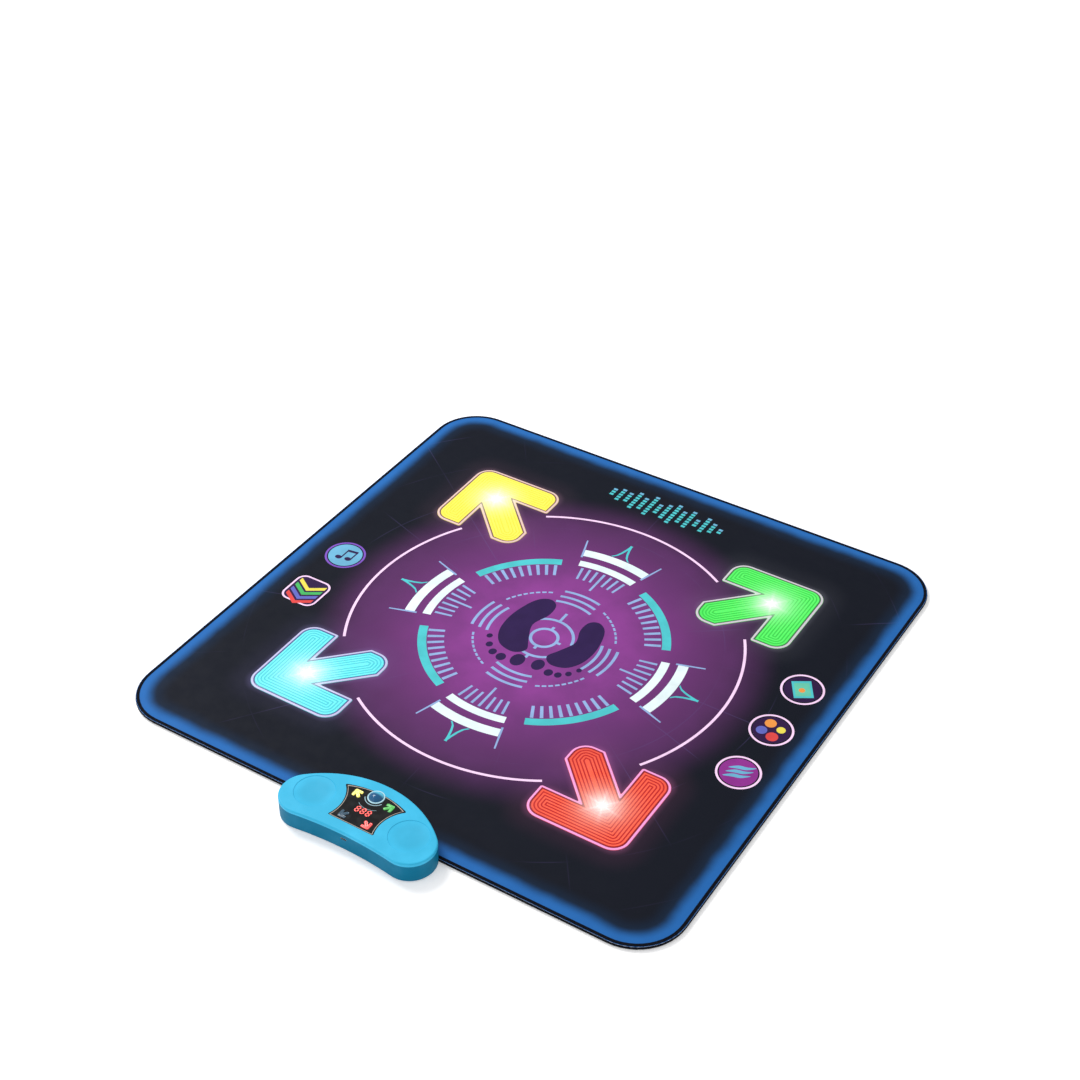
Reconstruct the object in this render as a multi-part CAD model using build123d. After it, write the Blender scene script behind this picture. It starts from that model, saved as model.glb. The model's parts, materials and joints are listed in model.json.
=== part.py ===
"""Child's light-up dance mat with a control box clamped to one edge.

Millimetres, +Z up. The origin is the centre of the mat's underside, which lies on the floor.
+X runs along the edge that carries the control box, and the box is at the -Y edge.
"""

from build123d import *
import os
from math import sqrt

os.makedirs("parts", exist_ok=True)

# ---- Mat: driving dimensions -------------------------------------------------------------------
MAT_SIDE = 900.0
MAT_CORNER = 75.0
BINDING_WALL = 0.6
BINDING_LAP = 6.0
HEMLINE = MAT_SIDE / 2 - BINDING_LAP  # half width of what lies inside the binding's laps

# Heights of the layers, from the floor up
Z_SHEET = 0.8  # top of the anti-slip sheet
Z_FOAM = 2.4  # top of the foam under the switches
Z_FILM = 2.7  # top of the lower switch film
Z_SPACER = 5.8  # top of the spacer foam
Z_TOP = 7.0  # top of the printed sheet
Z_PAD = 7.3  # top of the arrow pads

# ---- Arrow pads --------------------------------------------------------------------------------
ARROW_SIZE = 157.0  # side of the square that an arrow fills
ARROW_CENTRE = 239.0  # its centre, out along X and along Y
ARROW_TURNS = {"green": 0, "yellow": 90, "cyan": 180, "red": 270}
ARM_SHARE = 0.35  # width of the two arms, as a share of the size
STEM_SHARE = 0.264  # half-width of the stem measured along an axis, as a share of the size
ROUND_SHARE = 0.159  # large corners
NICK_SHARE = 0.03  # small corners
WINDOW_GAP = 0.4
PAD_FLANGE = 3.0  # how far the pad's flange reaches under the printed sheet
POCKET_GAP = 0.5
PAD_FLANGE_Z = (4.9, 5.7)
UPPER_CONTACT_Z = (4.3, 4.9)
LOWER_CONTACT_Z = (2.7, 3.0)
CONTACT_INSET = 9.0
CONTACT_HOLE = 17.0  # radius left free round the light
FOAM_RING_INSET = 5.5
LIGHT_OFFSET = 13.0  # the light is this far from the arrow's centre, towards its elbow
LIGHT_BOARD = 13.0  # radius
LIGHT_BOARD_Z = 3.1
LED_SIDE = 5.0
LED_HEIGHT = 1.3
LIGHT_POCKET = 11.0  # radius of the pocket in the pad's underside
LIGHT_POCKET_Z = 6.3

# ---- Control box -------------------------------------------------------------------------------
LOBE_X, LOBE_Y, LOBE_R = 86.0, -467.0, 37.0
INNER_Y = -397.0  # the bean's convex side, over the mat
NOTCH_Y = -498.0  # the bean's concave side, off the mat
BOX_FOOT_Z = 1.2  # underside of the part that stands off the mat
BOX_TOP_Z = 33.0
SPLIT_Z = 27.6  # where the cover's rim meets the tray's walls
BOSS_SPLIT_Z = 14.0  # where the screw bosses of the two meet
SHELL_WALL = 2.2
DEEP_EDGE_Y = -451.2  # the box steps down past this line, just clear of the mat's edge
FLOOR_WALL = 2.0
CEILING_Z = 30.2
TOP_ROUND = 2.4
DISH_X, DISH_Y, DISH_R = 78.0, -457.0, 29.0
DISH_STEP, DISH_DEPTH = 0.7, 1.5  # a short sloping step, then a shallow bowl

# Lens and what shows through it
LENS_Z = (31.3, 33.1)
LENS_FIT = 0.15
LEDGE = 2.5
BUTTON_Y = -423.0
KEY_SIZE = 12.5
KEY_PLACES = {
    "yellow": (-26.0, -430.0),
    "green": (26.0, -430.0),
    "cyan": (-19.0, -471.0),
    "red": (19.0, -471.0),
}
DIGITS_Y = -453.0

# Circuit board
BOARD_Z = (21.4, 23.0)
SWITCH_SIDE, SWITCH_HEIGHT = 6.0, 3.0
PLUNGER_R, PLUNGER_BORE_R = 1.7, 1.78
PLUNGER_Z = (24.6, 27.2)
SWITCH_FLOOR_Z = 23.4
BOARD_POSTS = [(-44.0, -411.5), (44.0, -411.5), (-42.0, -474.0), (42.0, -474.0)]

# Screws
SCREW_R, SCREW_BITE_R, SCREW_FREE_R = 1.4, 1.45, 1.7
SHELL_SCREWS = [(-112.0, -467.0), (-38.0, -487.5), (38.0, -487.5), (112.0, -467.0)]
CLAMP_SCREWS = [(-65.0, -427.0), (-28.0, -418.0), (28.0, -418.0), (65.0, -427.0)]
BOSS_R = 4.4

# Clamp plate under the mat
CLAMP_X, CLAMP_Y = 80.0, (-440.0, -411.0)

# Flat tail from the switch film up to the board
TAIL_X, TAIL_Y, TAIL_THICK, TAIL_TOP = 15.0, -430.0, 0.3, 20.0

# Battery bay, with three cells lying along X
CELL_R, CELL_LENGTH, CELL_PITCH = 5.15, 44.5, 10.9
CELL_X = -21.2  # the flat ends of the cells
CELL_Z = 9.6
BAY_X, BAY_Y, BAY_TOP = (-29.0, 23.8), (-492.0, -457.4), 15.6
DOOR_X, DOOR_Y = (-25.2, 31.0), (-491.2, -458.2)
DOOR_GAP = 0.3
DOOR_SCREW = (27.8, -474.7)
HOOK_Y = (-484.0, -466.0)  # two hooks hold the door's hinged edge
HOOK_REACH = 2.4  # how far they reach past that edge, over the box's floor
HOOK_HALF = 3.0

# Speaker, facing down
SPEAKER_X, SPEAKER_Y, SPEAKER_R = 86.0, -472.0, 17.0

# USB-C style socket in the outer wall
SOCKET_Z, SOCKET_W, SOCKET_H, SOCKET_L = 19.8, 9.0, 3.2, 7.3

FEET = [(-101.0, -489.0), (-60.0, -490.0), (60.0, -490.0), (101.0, -489.0)]


# ---- Helpers -----------------------------------------------------------------------------------
def slab(outline, low, high):
    """Extrudes a flat outline between two heights."""
    return extrude(Plane.XY.offset(low) * outline, amount=high - low)


def disc(x, y, radius, low, high):
    return Pos(x, y, low) * Cylinder(
        radius, high - low, align=(Align.CENTER, Align.CENTER, Align.MIN)
    )


def block(x0, x1, y0, y1, z0, z1):
    return Pos(x0, y0, z0) * Box(x1 - x0, y1 - y0, z1 - z0, align=(Align.MIN,) * 3)


def discs(places, radius, low, high):
    return [disc(x, y, radius, low, high) for x, y in places]


def write(node, *solids):
    """Writes one node: a single solid, or a group of separate ones."""
    found = [solid for shape in solids for solid in shape.solids()]
    export_step(found[0] if len(found) == 1 else Compound(children=found), f"parts/{node}.step")


def mat_outline(half):
    """The mat's rounded square, offset to the given half-width."""
    corner = MAT_CORNER - (MAT_SIDE / 2 - half)
    return RectangleRounded(2 * half, 2 * half, corner)


def arrow(size):
    """A broad arrow that fills a square of this size and points to its (+X, +Y) corner."""
    arm, stem = ARM_SHARE * size, STEM_SHARE * size
    inner = size - arm
    corners = [
        (0, 0),
        (stem, 0),
        (inner, inner - stem),
        (inner, 0),
        (size, 0),
        (size, size),
        (0, size),
        (0, inner),
        (inner - stem, inner),
        (0, stem),
    ]
    plan = Pos(-size / 2, -size / 2) * Polygon(*corners, align=None)
    large = {0, 4, 5, 6}
    for radius, wanted in ((ROUND_SHARE * size, True), (NICK_SHARE * size, False)):
        for index, (x, y) in enumerate(corners):
            if (index in large) != wanted:
                continue
            spot = Vector(x - size / 2, y - size / 2, 0)
            vertex = min(plan.vertices(), key=lambda v: (Vector(v.X, v.Y, v.Z) - spot).length)
            plan = fillet(vertex, radius)
    return plan


def grown(outline, amount):
    return offset(outline, amount=amount)


def on_mat(turn, shape):
    """Places a shape drawn for the arrow's own centre at one of the four corners."""
    return Rot(0, 0, turn) * Pos(ARROW_CENTRE, ARROW_CENTRE, 0) * shape


def at_arrows(shape):
    return [on_mat(turn, shape) for turn in ARROW_TURNS.values()]


def bean(inset):
    """The control box's outline, moved inwards by inset: two lobes joined by two long arcs."""
    lobe, inner, notch = LOBE_R - inset, INNER_Y - inset, NOTCH_Y + inset
    rise, drop = LOBE_Y - inner, LOBE_Y - notch
    big = (LOBE_X**2 + rise**2 - lobe**2) / (-2 * (rise + lobe))
    hollow = (LOBE_X**2 + drop**2 - lobe**2) / (2 * (lobe - drop))
    centre = Vector(LOBE_X, LOBE_Y)
    big_centre = Vector(0, inner - big)
    hollow_centre = Vector(0, notch - hollow)
    meets_big = big_centre + (centre - big_centre) * (big / (big - lobe))
    meets_hollow = hollow_centre + (centre - hollow_centre) * (hollow / (hollow + lobe))
    tip = centre + Vector(1, -0.25).normalized() * lobe

    def flip(point):
        return Vector(-point.X, point.Y)

    edges = [
        ThreePointArc(flip(meets_big), (0, inner), meets_big),
        ThreePointArc(meets_big, tip, meets_hollow),
        ThreePointArc(meets_hollow, (0, notch), flip(meets_hollow)),
        ThreePointArc(flip(meets_hollow), flip(tip), flip(meets_big)),
    ]
    return make_face(edges)


def lens_outline(grow=0.0):
    """Four-pointed panel, grown all round: bowed top edge, waisted sides, straight bottom edge."""
    top = (50.5 + 1.96 * grow, -424.0 + 0.31 * grow)
    waist = (33.5 + grow, -458.0)
    bottom = (37.5 + 1.63 * grow, -481.5 - grow)
    edges = [
        ThreePointArc((-top[0], top[1]), (0, -414.5 + grow), top),
        ThreePointArc(top, waist, bottom),
        Line(bottom, (-bottom[0], bottom[1])),
        ThreePointArc((-bottom[0], bottom[1]), (-waist[0], waist[1]), (-top[0], top[1])),
    ]
    face = make_face(edges)
    return fillet(face.vertices(), 1.6)


# ---- Mat ---------------------------------------------------------------------------------------
def build_mat():
    arrow_plan = arrow(ARROW_SIZE)
    tail_slot = block(-TAIL_X - 0.6, TAIL_X + 0.6, TAIL_Y - 0.9, TAIL_Y + 0.6, Z_FILM, Z_TOP + 5)
    screws_clear = discs(CLAMP_SCREWS, SCREW_FREE_R, -1, Z_TOP + 1)
    clamp_room = block(-CLAMP_X - 1, CLAMP_X + 1, CLAMP_Y[0] - 1, CLAMP_Y[1] + 1, -1, Z_FOAM)
    core = mat_outline(MAT_SIDE / 2 - BINDING_WALL - 0.2)

    write("base_sheet", slab(mat_outline(HEMLINE - 0.2), 0, Z_SHEET) - clamp_room)
    write("base_foam", slab(core, Z_SHEET, Z_FOAM) - clamp_room)
    write("lower_membrane", slab(core, Z_FOAM, Z_FILM) - screws_clear)

    pocket = slab(grown(arrow_plan, PAD_FLANGE + POCKET_GAP), Z_FILM - 1, Z_SPACER + 1)
    spacer = slab(core, Z_FILM, Z_SPACER) - at_arrows(pocket) - screws_clear - tail_slot
    write("spacer_foam", spacer)

    window = slab(grown(arrow_plan, WINDOW_GAP), Z_SPACER - 1, Z_TOP + 1)
    sheet = slab(core, Z_SPACER, Z_TOP) - at_arrows(window) - screws_clear - tail_slot
    write("top_sheet", sheet)

    rim = slab(mat_outline(MAT_SIDE / 2), 0.1, Z_TOP + BINDING_WALL)
    rim -= slab(mat_outline(MAT_SIDE / 2 - BINDING_WALL), 0.1 + BINDING_WALL, Z_TOP)
    rim -= slab(mat_outline(HEMLINE), -1, Z_TOP + 2)
    write("edge_binding", rim)


# ---- Arrow pads, their contacts and lights -----------------------------------------------------
def build_arrows():
    plan = arrow(ARROW_SIZE)
    light = (LIGHT_OFFSET, LIGHT_OFFSET)

    pad = slab(plan, PAD_FLANGE_Z[1], Z_PAD) + slab(grown(plan, PAD_FLANGE), *PAD_FLANGE_Z)
    pad -= disc(*light, LIGHT_POCKET, PAD_FLANGE_Z[0] - 1, LIGHT_POCKET_Z)
    patch = grown(plan, -CONTACT_INSET) - Pos(*light) * Circle(CONTACT_HOLE)
    ring = grown(plan, PAD_FLANGE - 0.5) - grown(plan, -FOAM_RING_INSET)
    upper = slab(patch, *UPPER_CONTACT_Z)
    lower = slab(patch, *LOWER_CONTACT_Z)
    foam = slab(ring, Z_FILM, PAD_FLANGE_Z[0])
    board = disc(*light, LIGHT_BOARD, Z_FILM, LIGHT_BOARD_Z)
    half = LED_SIDE / 2
    led = Pos(*light, 0) * block(-half, half, -half, half, LIGHT_BOARD_Z, LIGHT_BOARD_Z + LED_HEIGHT)

    for colour, turn in ARROW_TURNS.items():
        write(f"arrow_pad_{colour}", on_mat(turn, pad))
        write(f"upper_contact_{colour}", on_mat(turn, upper))
        write(f"return_foam_{colour}", on_mat(turn, foam))
        write(f"light_board_{colour}", on_mat(turn, board))
    write("lower_contacts", *at_arrows(lower))
    write("arrow_leds", *at_arrows(led))


# ---- Clamp under the mat, and the tail ---------------------------------------------------------
def build_clamp():
    plate_z = (Z_SHEET, Z_FOAM)
    outline = Pos(0, sum(CLAMP_Y) / 2) * RectangleRounded(2 * CLAMP_X, CLAMP_Y[1] - CLAMP_Y[0], 6)
    plate = slab(outline, *plate_z)
    head_high, head_r = 1.3, 2.8
    screws = []
    for x, y in CLAMP_SCREWS:
        head = Pos(x, y, plate_z[0] + head_high / 2) * Cone(head_r, SCREW_R, head_high)
        room = Pos(x, y, plate_z[0] + head_high / 2) * Cone(head_r + 0.1, SCREW_R + 0.1, head_high)
        plate -= room
        plate -= disc(x, y, SCREW_R + 0.1, plate_z[0], plate_z[1])
        drive = disc(x, y, 0.9, plate_z[0], plate_z[0] + 0.7)
        screws.append(head + disc(x, y, SCREW_R, plate_z[0] + head_high, 17.0) - drive)
    write("clamp_plate", plate)
    write("clamp_screws", *screws)
    write("membrane_tail", block(-TAIL_X, TAIL_X, TAIL_Y - TAIL_THICK, TAIL_Y, Z_FILM, TAIL_TOP))


# ---- Control box shells ------------------------------------------------------------------------
def deep(inset, low, high):
    """The bean, kept to the part that lies past the mat's edge."""
    return slab(bean(inset), low, high) & block(-200, 200, -600, DEEP_EDGE_Y - inset, low, high)


def build_bottom_shell():
    lap = -HEMLINE + 0.4  # the binding's lap lies past this line
    floor = FLOOR_WALL
    shell = slab(bean(0), Z_TOP, SPLIT_Z) + deep(0, BOX_FOOT_Z, Z_TOP + 1)
    room = slab(bean(SHELL_WALL), Z_TOP + floor, SPLIT_Z + 1)
    shell -= room + deep(SHELL_WALL, BOX_FOOT_Z + floor, SPLIT_Z)
    shell -= block(-200, 200, DEEP_EDGE_Y, lap, BOX_FOOT_Z, Z_TOP + BINDING_WALL + 0.1)
    lip = slab(bean(1.2), SPLIT_Z - 1, SPLIT_Z + 1.2) - slab(bean(SHELL_WALL), SPLIT_Z - 2, SPLIT_Z + 2)
    shell += lip

    # Battery bay: a box with a ceiling, open below for the door
    wall = 1.6
    bay = block(
        BAY_X[0] - wall, BAY_X[1] + wall, BAY_Y[0] - wall, BAY_Y[1] + wall, BOX_FOOT_Z, BAY_TOP + wall
    )
    shell += bay & slab(bean(0.5), BOX_FOOT_Z, BAY_TOP + wall)
    boss_low = 4.7
    shell += disc(*DOOR_SCREW, 3.2, boss_low, 12.0)
    shell -= block(*BAY_X, *BAY_Y, BOX_FOOT_Z + floor, BAY_TOP)
    opening = block(
        DOOR_X[0] - DOOR_GAP,
        DOOR_X[1] + DOOR_GAP,
        DOOR_Y[0] - DOOR_GAP,
        DOOR_Y[1] + DOOR_GAP,
        0,
        BOX_FOOT_Z + floor,
    )
    shell -= opening
    shell -= disc(*DOOR_SCREW, 4.1, BOX_FOOT_Z, boss_low)
    shell -= disc(*DOOR_SCREW, 1.7, BOX_FOOT_Z, 10.0)

    # Bosses for the two sets of screws
    for x, y in SHELL_SCREWS:
        shell += disc(x, y, BOSS_R, BOX_FOOT_Z, BOSS_SPLIT_Z)
        shell -= disc(x, y, 3.0, 0, 5.2)
        shell -= disc(x, y, SCREW_FREE_R, 5.0, BOSS_SPLIT_Z + 1)
    for x, y in CLAMP_SCREWS:
        shell += disc(x, y, 3.6, Z_TOP, 18.4)
        shell -= disc(x, y, SCREW_BITE_R, 0, 17.4)

    # Slots for the speaker, a collar that holds it, and the slot for the tail
    for step in range(-3, 4):
        reach = sqrt(12.5**2 - (3.6 * step) ** 2)
        x = SPEAKER_X + 3.6 * step
        shell -= block(x - 0.8, x + 0.8, SPEAKER_Y - reach, SPEAKER_Y + reach, 0, BOX_FOOT_Z + floor)
    floor_z = BOX_FOOT_Z + floor
    collar = disc(SPEAKER_X, SPEAKER_Y, SPEAKER_R + 1.5, floor_z, 7.0)
    shell += collar - disc(SPEAKER_X, SPEAKER_Y, SPEAKER_R + 0.2, floor_z, 7.0)
    shell -= block(-TAIL_X - 0.6, TAIL_X + 0.6, TAIL_Y - 0.9, TAIL_Y + 0.6, 0, Z_TOP + floor)

    mouth = slab(SlotOverall(SOCKET_W + 0.6, SOCKET_H + 0.6), -4, 4)
    shell -= Pos(0, NOTCH_Y, SOCKET_Z) * Rot(90, 0, 0) * mouth
    write("bottom_shell", shell)


def build_top_shell():
    shell = slab(bean(0), SPLIT_Z, BOX_TOP_Z)
    rim = shell.faces().sort_by(Axis.Z)[-1].edges()
    shell = fillet(rim, TOP_ROUND)
    shell -= slab(bean(SHELL_WALL), SPLIT_Z - 1, CEILING_Z)
    shell -= slab(bean(1.1), SPLIT_Z - 1, SPLIT_Z + 1.3)

    bowl_r, bowl_depth = DISH_R - DISH_STEP, DISH_DEPTH - DISH_STEP
    ball = (bowl_r**2 + bowl_depth**2) / (2 * bowl_depth)
    for side in (-1, 1):
        dish = Pos(0, 0, -DISH_STEP / 2) * Cone(bowl_r, DISH_R, DISH_STEP)
        dish += Pos(0, 0, ball - DISH_DEPTH) * Sphere(ball) & disc(0, 0, bowl_r, -2, -DISH_STEP)
        dish += disc(0, 0, DISH_R, 0, 1)
        shell -= Pos(side * DISH_X, DISH_Y, BOX_TOP_Z) * dish

    shell -= slab(lens_outline(LENS_FIT), LENS_Z[0], BOX_TOP_Z + 1)
    shell -= slab(lens_outline(-LEDGE), CEILING_Z - 1, LENS_Z[0] + 1)
    shell -= disc(0, BUTTON_Y, 11.2, CEILING_Z - 1, BOX_TOP_Z + 1)

    for x, y in SHELL_SCREWS:
        shell += disc(x, y, BOSS_R - 0.6, BOSS_SPLIT_Z, CEILING_Z)
        shell -= disc(x, y, SCREW_BITE_R, BOSS_SPLIT_Z - 1, 24.5)
    for x, y in BOARD_POSTS:
        shell += disc(x, y, 3.0, BOARD_Z[1], CEILING_Z)
        shell -= disc(x, y, 0.95, BOARD_Z[1] - 1, 29.0)

    write("top_shell", shell)


# ---- Lens, button, keys and display ------------------------------------------------------------
def build_controls():
    key_plan = arrow(KEY_SIZE)
    lens = slab(lens_outline(), *LENS_Z) - disc(0, BUTTON_Y, 11.2, 30, 34)
    for colour, (x, y) in KEY_PLACES.items():
        turn = ARROW_TURNS[colour]
        place = Pos(x, y, 0) * Rot(0, 0, turn)
        lens -= place * slab(grown(key_plan, 0.3), 30, 34)
        key = slab(key_plan, 31.0, 33.7) + slab(grown(key_plan, 0.8), 29.9, 31.0)
        key += disc(0, 0, 2.0, PLUNGER_Z[1], 29.9)
        write(f"key_{colour}", place * key)
        write(f"plunger_{colour}", disc(x, y, PLUNGER_R, *PLUNGER_Z))
    write("display_lens", lens)

    sleeve_r, bore_r, cap_r = 11.0, 10.35, 10.0
    ring = disc(0, BUTTON_Y, 12.2, LENS_Z[1] + 0.05, 34.1)
    ring = chamfer(ring.faces().sort_by(Axis.Z)[-1].edges(), 0.5)
    ring += disc(0, BUTTON_Y, sleeve_r, 29.0, LENS_Z[1] + 0.1)
    ring -= disc(0, BUTTON_Y, bore_r, 28, 35)
    write("button_ring", ring)

    dome_top, dome_foot, dome_rise = 38.5, 34.4, 4.1
    ball = (cap_r**2 + dome_rise**2) / (2 * dome_rise)
    dome = disc(0, BUTTON_Y, cap_r, 28.0, dome_top)
    dome &= disc(0, BUTTON_Y, cap_r + 1, 27.0, dome_foot) + Pos(0, BUTTON_Y, dome_top - ball) * Sphere(ball)
    dome += disc(0, BUTTON_Y, 11.2, 27.5, 28.7)
    dome -= disc(0, BUTTON_Y, 8.3, 27.0, 33.0)
    dome += disc(0, BUTTON_Y, 2.5, PLUNGER_Z[1], 34.0)
    write("dome_button", dome)
    write("plunger_power", disc(0, BUTTON_Y, PLUNGER_R, *PLUNGER_Z))

    write("digit_display", block(-15, 15, DIGITS_Y - 7, DIGITS_Y + 7, BOARD_Z[1], 30.9))


# ---- Circuit board and what is soldered to it --------------------------------------------------
def build_board():
    low, high = BOARD_Z
    board = block(-47, 47, -478.5, -407.5, low, high) & slab(bean(SHELL_WALL + 0.8), low, high)
    board += block(-13, 13, -492.5, -478, low, high)
    for x, y in BOARD_POSTS:
        board -= disc(x, y, 1.25, low - 1, high + 1)
    write("main_board", board)

    places = list(KEY_PLACES.values()) + [(0.0, BUTTON_Y)]
    half = SWITCH_SIDE / 2
    switches, lights = [], []
    for x, y in places:
        body = block(x - half, x + half, y - half, y + half, high, high + SWITCH_HEIGHT)
        switches.append(body - disc(x, y, PLUNGER_BORE_R, SWITCH_FLOOR_Z, high + 4))
        inward = 4.6 if x < 0 else -4.6
        lights.append(block(x + inward - 0.6, x + inward + 0.6, y - 0.9, y + 0.9, high, high + 0.8))
    write("push_switches", *switches)
    write("key_leds", *lights)

    chips = [
        block(-31, -21, -452, -446, low - 1.8, low),
        block(20, 26, -450, -444, low - 1.6, low),
        block(-8, -2, -446, -441, low - 1.4, low),
        block(30, 35, -430, -425, low - 2.2, low),
    ]
    write("circuit_chips", *chips)

    connector = block(-17, 17, TAIL_Y - 3, TAIL_Y + 2.5, low - 4.0, low)
    connector -= block(-TAIL_X - 0.3, TAIL_X + 0.3, TAIL_Y - 0.45, TAIL_Y + 0.15, 15, TAIL_TOP + 0.2)
    write("tail_connector", connector)

    screws = []
    for x, y in BOARD_POSTS:
        head = disc(x, y, 2.0, low - 1.4, low) - disc(x, y, 0.8, low - 2, low - 0.8)
        screws.append(head + disc(x, y, 0.9, low, 28.0))
    write("board_screws", *screws)

    tube = slab(SlotOverall(SOCKET_W, SOCKET_H), 0, SOCKET_L)
    tube -= slab(SlotOverall(SOCKET_W - 0.8, SOCKET_H - 0.8), 0.8, SOCKET_L + 1)
    tube += slab(Rectangle(6.6, 0.7), 0.5, SOCKET_L - 1)
    write("usb_socket", Pos(0, NOTCH_Y + 0.3 + SOCKET_L, SOCKET_Z) * Rot(90, 0, 0) * tube)


# ---- Speaker -----------------------------------------------------------------------------------
def turned(points):
    """A solid of revolution about the speaker's own axis."""
    profile = Plane.XZ * Polygon(*points, align=None)
    return Pos(SPEAKER_X, SPEAKER_Y, 0) * revolve(profile, Axis.Z)


def build_speaker():
    floor_z = BOX_FOOT_Z + FLOOR_WALL
    seat = floor_z + 0.2
    basket = [
        (14.2, seat),
        (SPEAKER_R, seat),
        (SPEAKER_R, seat + 1.2),
        (15.6, seat + 1.2),
        (10.0, 10.6),
        (10.0, 11.8),
        (4.0, 11.8),
        (4.0, 10.8),
        (8.8, 10.8),
        (14.2, seat + 2.0),
    ]
    write("speaker_frame", turned(basket))
    cone = [(3.0, 9.6), (4.0, 9.6), (13.2, 5.2), (14.0, 5.2), (14.0, 4.8), (13.0, 4.8), (3.0, 9.0)]
    write("speaker_cone", turned(cone))
    magnet = disc(SPEAKER_X, SPEAKER_Y, 10.0, 11.8, 16.4)
    write("speaker_magnet", chamfer(magnet.faces().sort_by(Axis.Z)[-1].edges(), 0.6))


# ---- Battery bay -------------------------------------------------------------------------------
def cell_rows():
    middle = sum(BAY_Y) / 2
    return [middle + CELL_PITCH * row for row in (-1, 0, 1)]


def build_batteries():
    cells, springs = [], []
    gap = BAY_X[0] + 0.5
    for index, y in enumerate(cell_rows()):
        can = Pos(CELL_X, y, CELL_Z) * Rot(0, 90, 0) * disc(0, 0, CELL_R, 0, CELL_LENGTH - 1)
        nub = Pos(CELL_X, y, CELL_Z) * Rot(0, 90, 0) * disc(0, 0, 1.9, CELL_LENGTH - 1, CELL_LENGTH)
        cells.append(can + nub)
        length = CELL_X - gap - 0.7
        path = Helix(pitch=length / 5, height=length, radius=2.6)
        coil = sweep(Plane(path @ 0, z_dir=path % 0) * Circle(0.3), path=path)
        springs.append(Pos(gap + 0.35, y, CELL_Z) * Rot(0, 90, 0) * coil)
    write("battery_cells", *cells)
    write("battery_springs", *springs)

    first, last = cell_rows()[0] - 4, cell_rows()[2] + 4
    plates = [
        block(BAY_X[0], gap, first, last, 6.2, 13.2),
        block(BAY_X[1] - 0.5, BAY_X[1], first, last, 6.2, 13.2),
    ]
    write("battery_plates", *plates)

    # The door's hinged edge is a round nose, and it turns about the nose's axis
    low, high = BOX_FOOT_Z, BOX_FOOT_Z + FLOOR_WALL
    nose_r = FLOOR_WALL / 2
    hinge_x, long = DOOR_X[0] + nose_r, DOOR_Y[1] - DOOR_Y[0]
    door = block(hinge_x, DOOR_X[1], *DOOR_Y, low, high)
    door += Pos(hinge_x, DOOR_Y[1], low + nose_r) * Rot(90, 0, 0) * disc(0, 0, nose_r, 0, long)
    for y in HOOK_Y:
        near, far = y - HOOK_HALF, y + HOOK_HALF
        door += block(DOOR_X[0] - HOOK_REACH, hinge_x + 0.7, near, far, high + 0.2, high + 1.2)
        door += block(DOOR_X[0] + 0.2, hinge_x + 0.7, near, far, high - 0.5, high + 0.4)
    door += disc(*DOOR_SCREW, 3.7, high - 0.2, 4.4)
    door -= disc(*DOOR_SCREW, 2.8, 0, 2.8)
    door -= disc(*DOOR_SCREW, 1.4, 0, 5)
    write("battery_door", door)
    x, y = DOOR_SCREW
    head = disc(x, y, 2.5, 1.4, 2.8) - disc(x, y, 0.9, 1.0, 2.2)
    write("door_screw", head + disc(x, y, 1.05, 2.8, 8.0))


# ---- Fixings, feet and wires -------------------------------------------------------------------
def build_fixings():
    screws = []
    for x, y in SHELL_SCREWS:
        head = disc(x, y, 2.6, 3.4, 5.2) - disc(x, y, 1.0, 3.0, 4.4)
        screws.append(head + disc(x, y, SCREW_R, 5.2, 23.5))
    write("shell_screws", *screws)

    feet = []
    for foot in discs(FEET, 4.5, 0, BOX_FOOT_Z):
        feet.append(chamfer(foot.faces().sort_by(Axis.Z)[0].edges(), 0.3))
    write("rubber_feet", *feet)

    # Two wires from the speaker's magnet and two from the battery bay, up to the circuit board
    routes = []
    for y in (-466.0, -460.0):
        end = (43.5, y + 4)
        routes.append([(75.4, y, 14.0), (66, y, 14.0), (52, y + 3, 17.4), (*end, 17.8), (*end, BOARD_Z[0])])
    for y in (-479.0, -472.5):
        end = (-21, y + 4)
        routes.append([(-20, y, BAY_TOP + 1.7), (-20, y, 18.9), (*end, 19.4), (*end, BOARD_Z[0])])
    wires = []
    for route in routes:
        line = FilletPolyline(*route, radius=0.8)
        wires.append(sweep(Plane(line @ 0, z_dir=line % 0) * Circle(0.5), path=line))
    write("inner_wires", *wires)


build_mat()
build_arrows()
build_clamp()
build_bottom_shell()
build_top_shell()
build_controls()
build_board()
build_speaker()
build_batteries()
build_fixings()
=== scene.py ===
"""Looks of a child's light-up dance mat with a control box clamped to one edge.

Outlines and meshes are in millimetres, and shaders, lights and the camera are in metres. The mat's
underside is on the floor at Z = 0, +X runs along the edge that carries the control box, and the box
is at the -Y edge.
"""

import bmesh
import bpy
import json
import math
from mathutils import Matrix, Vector
from mathutils.geometry import delaunay_2d_cdt


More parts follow.
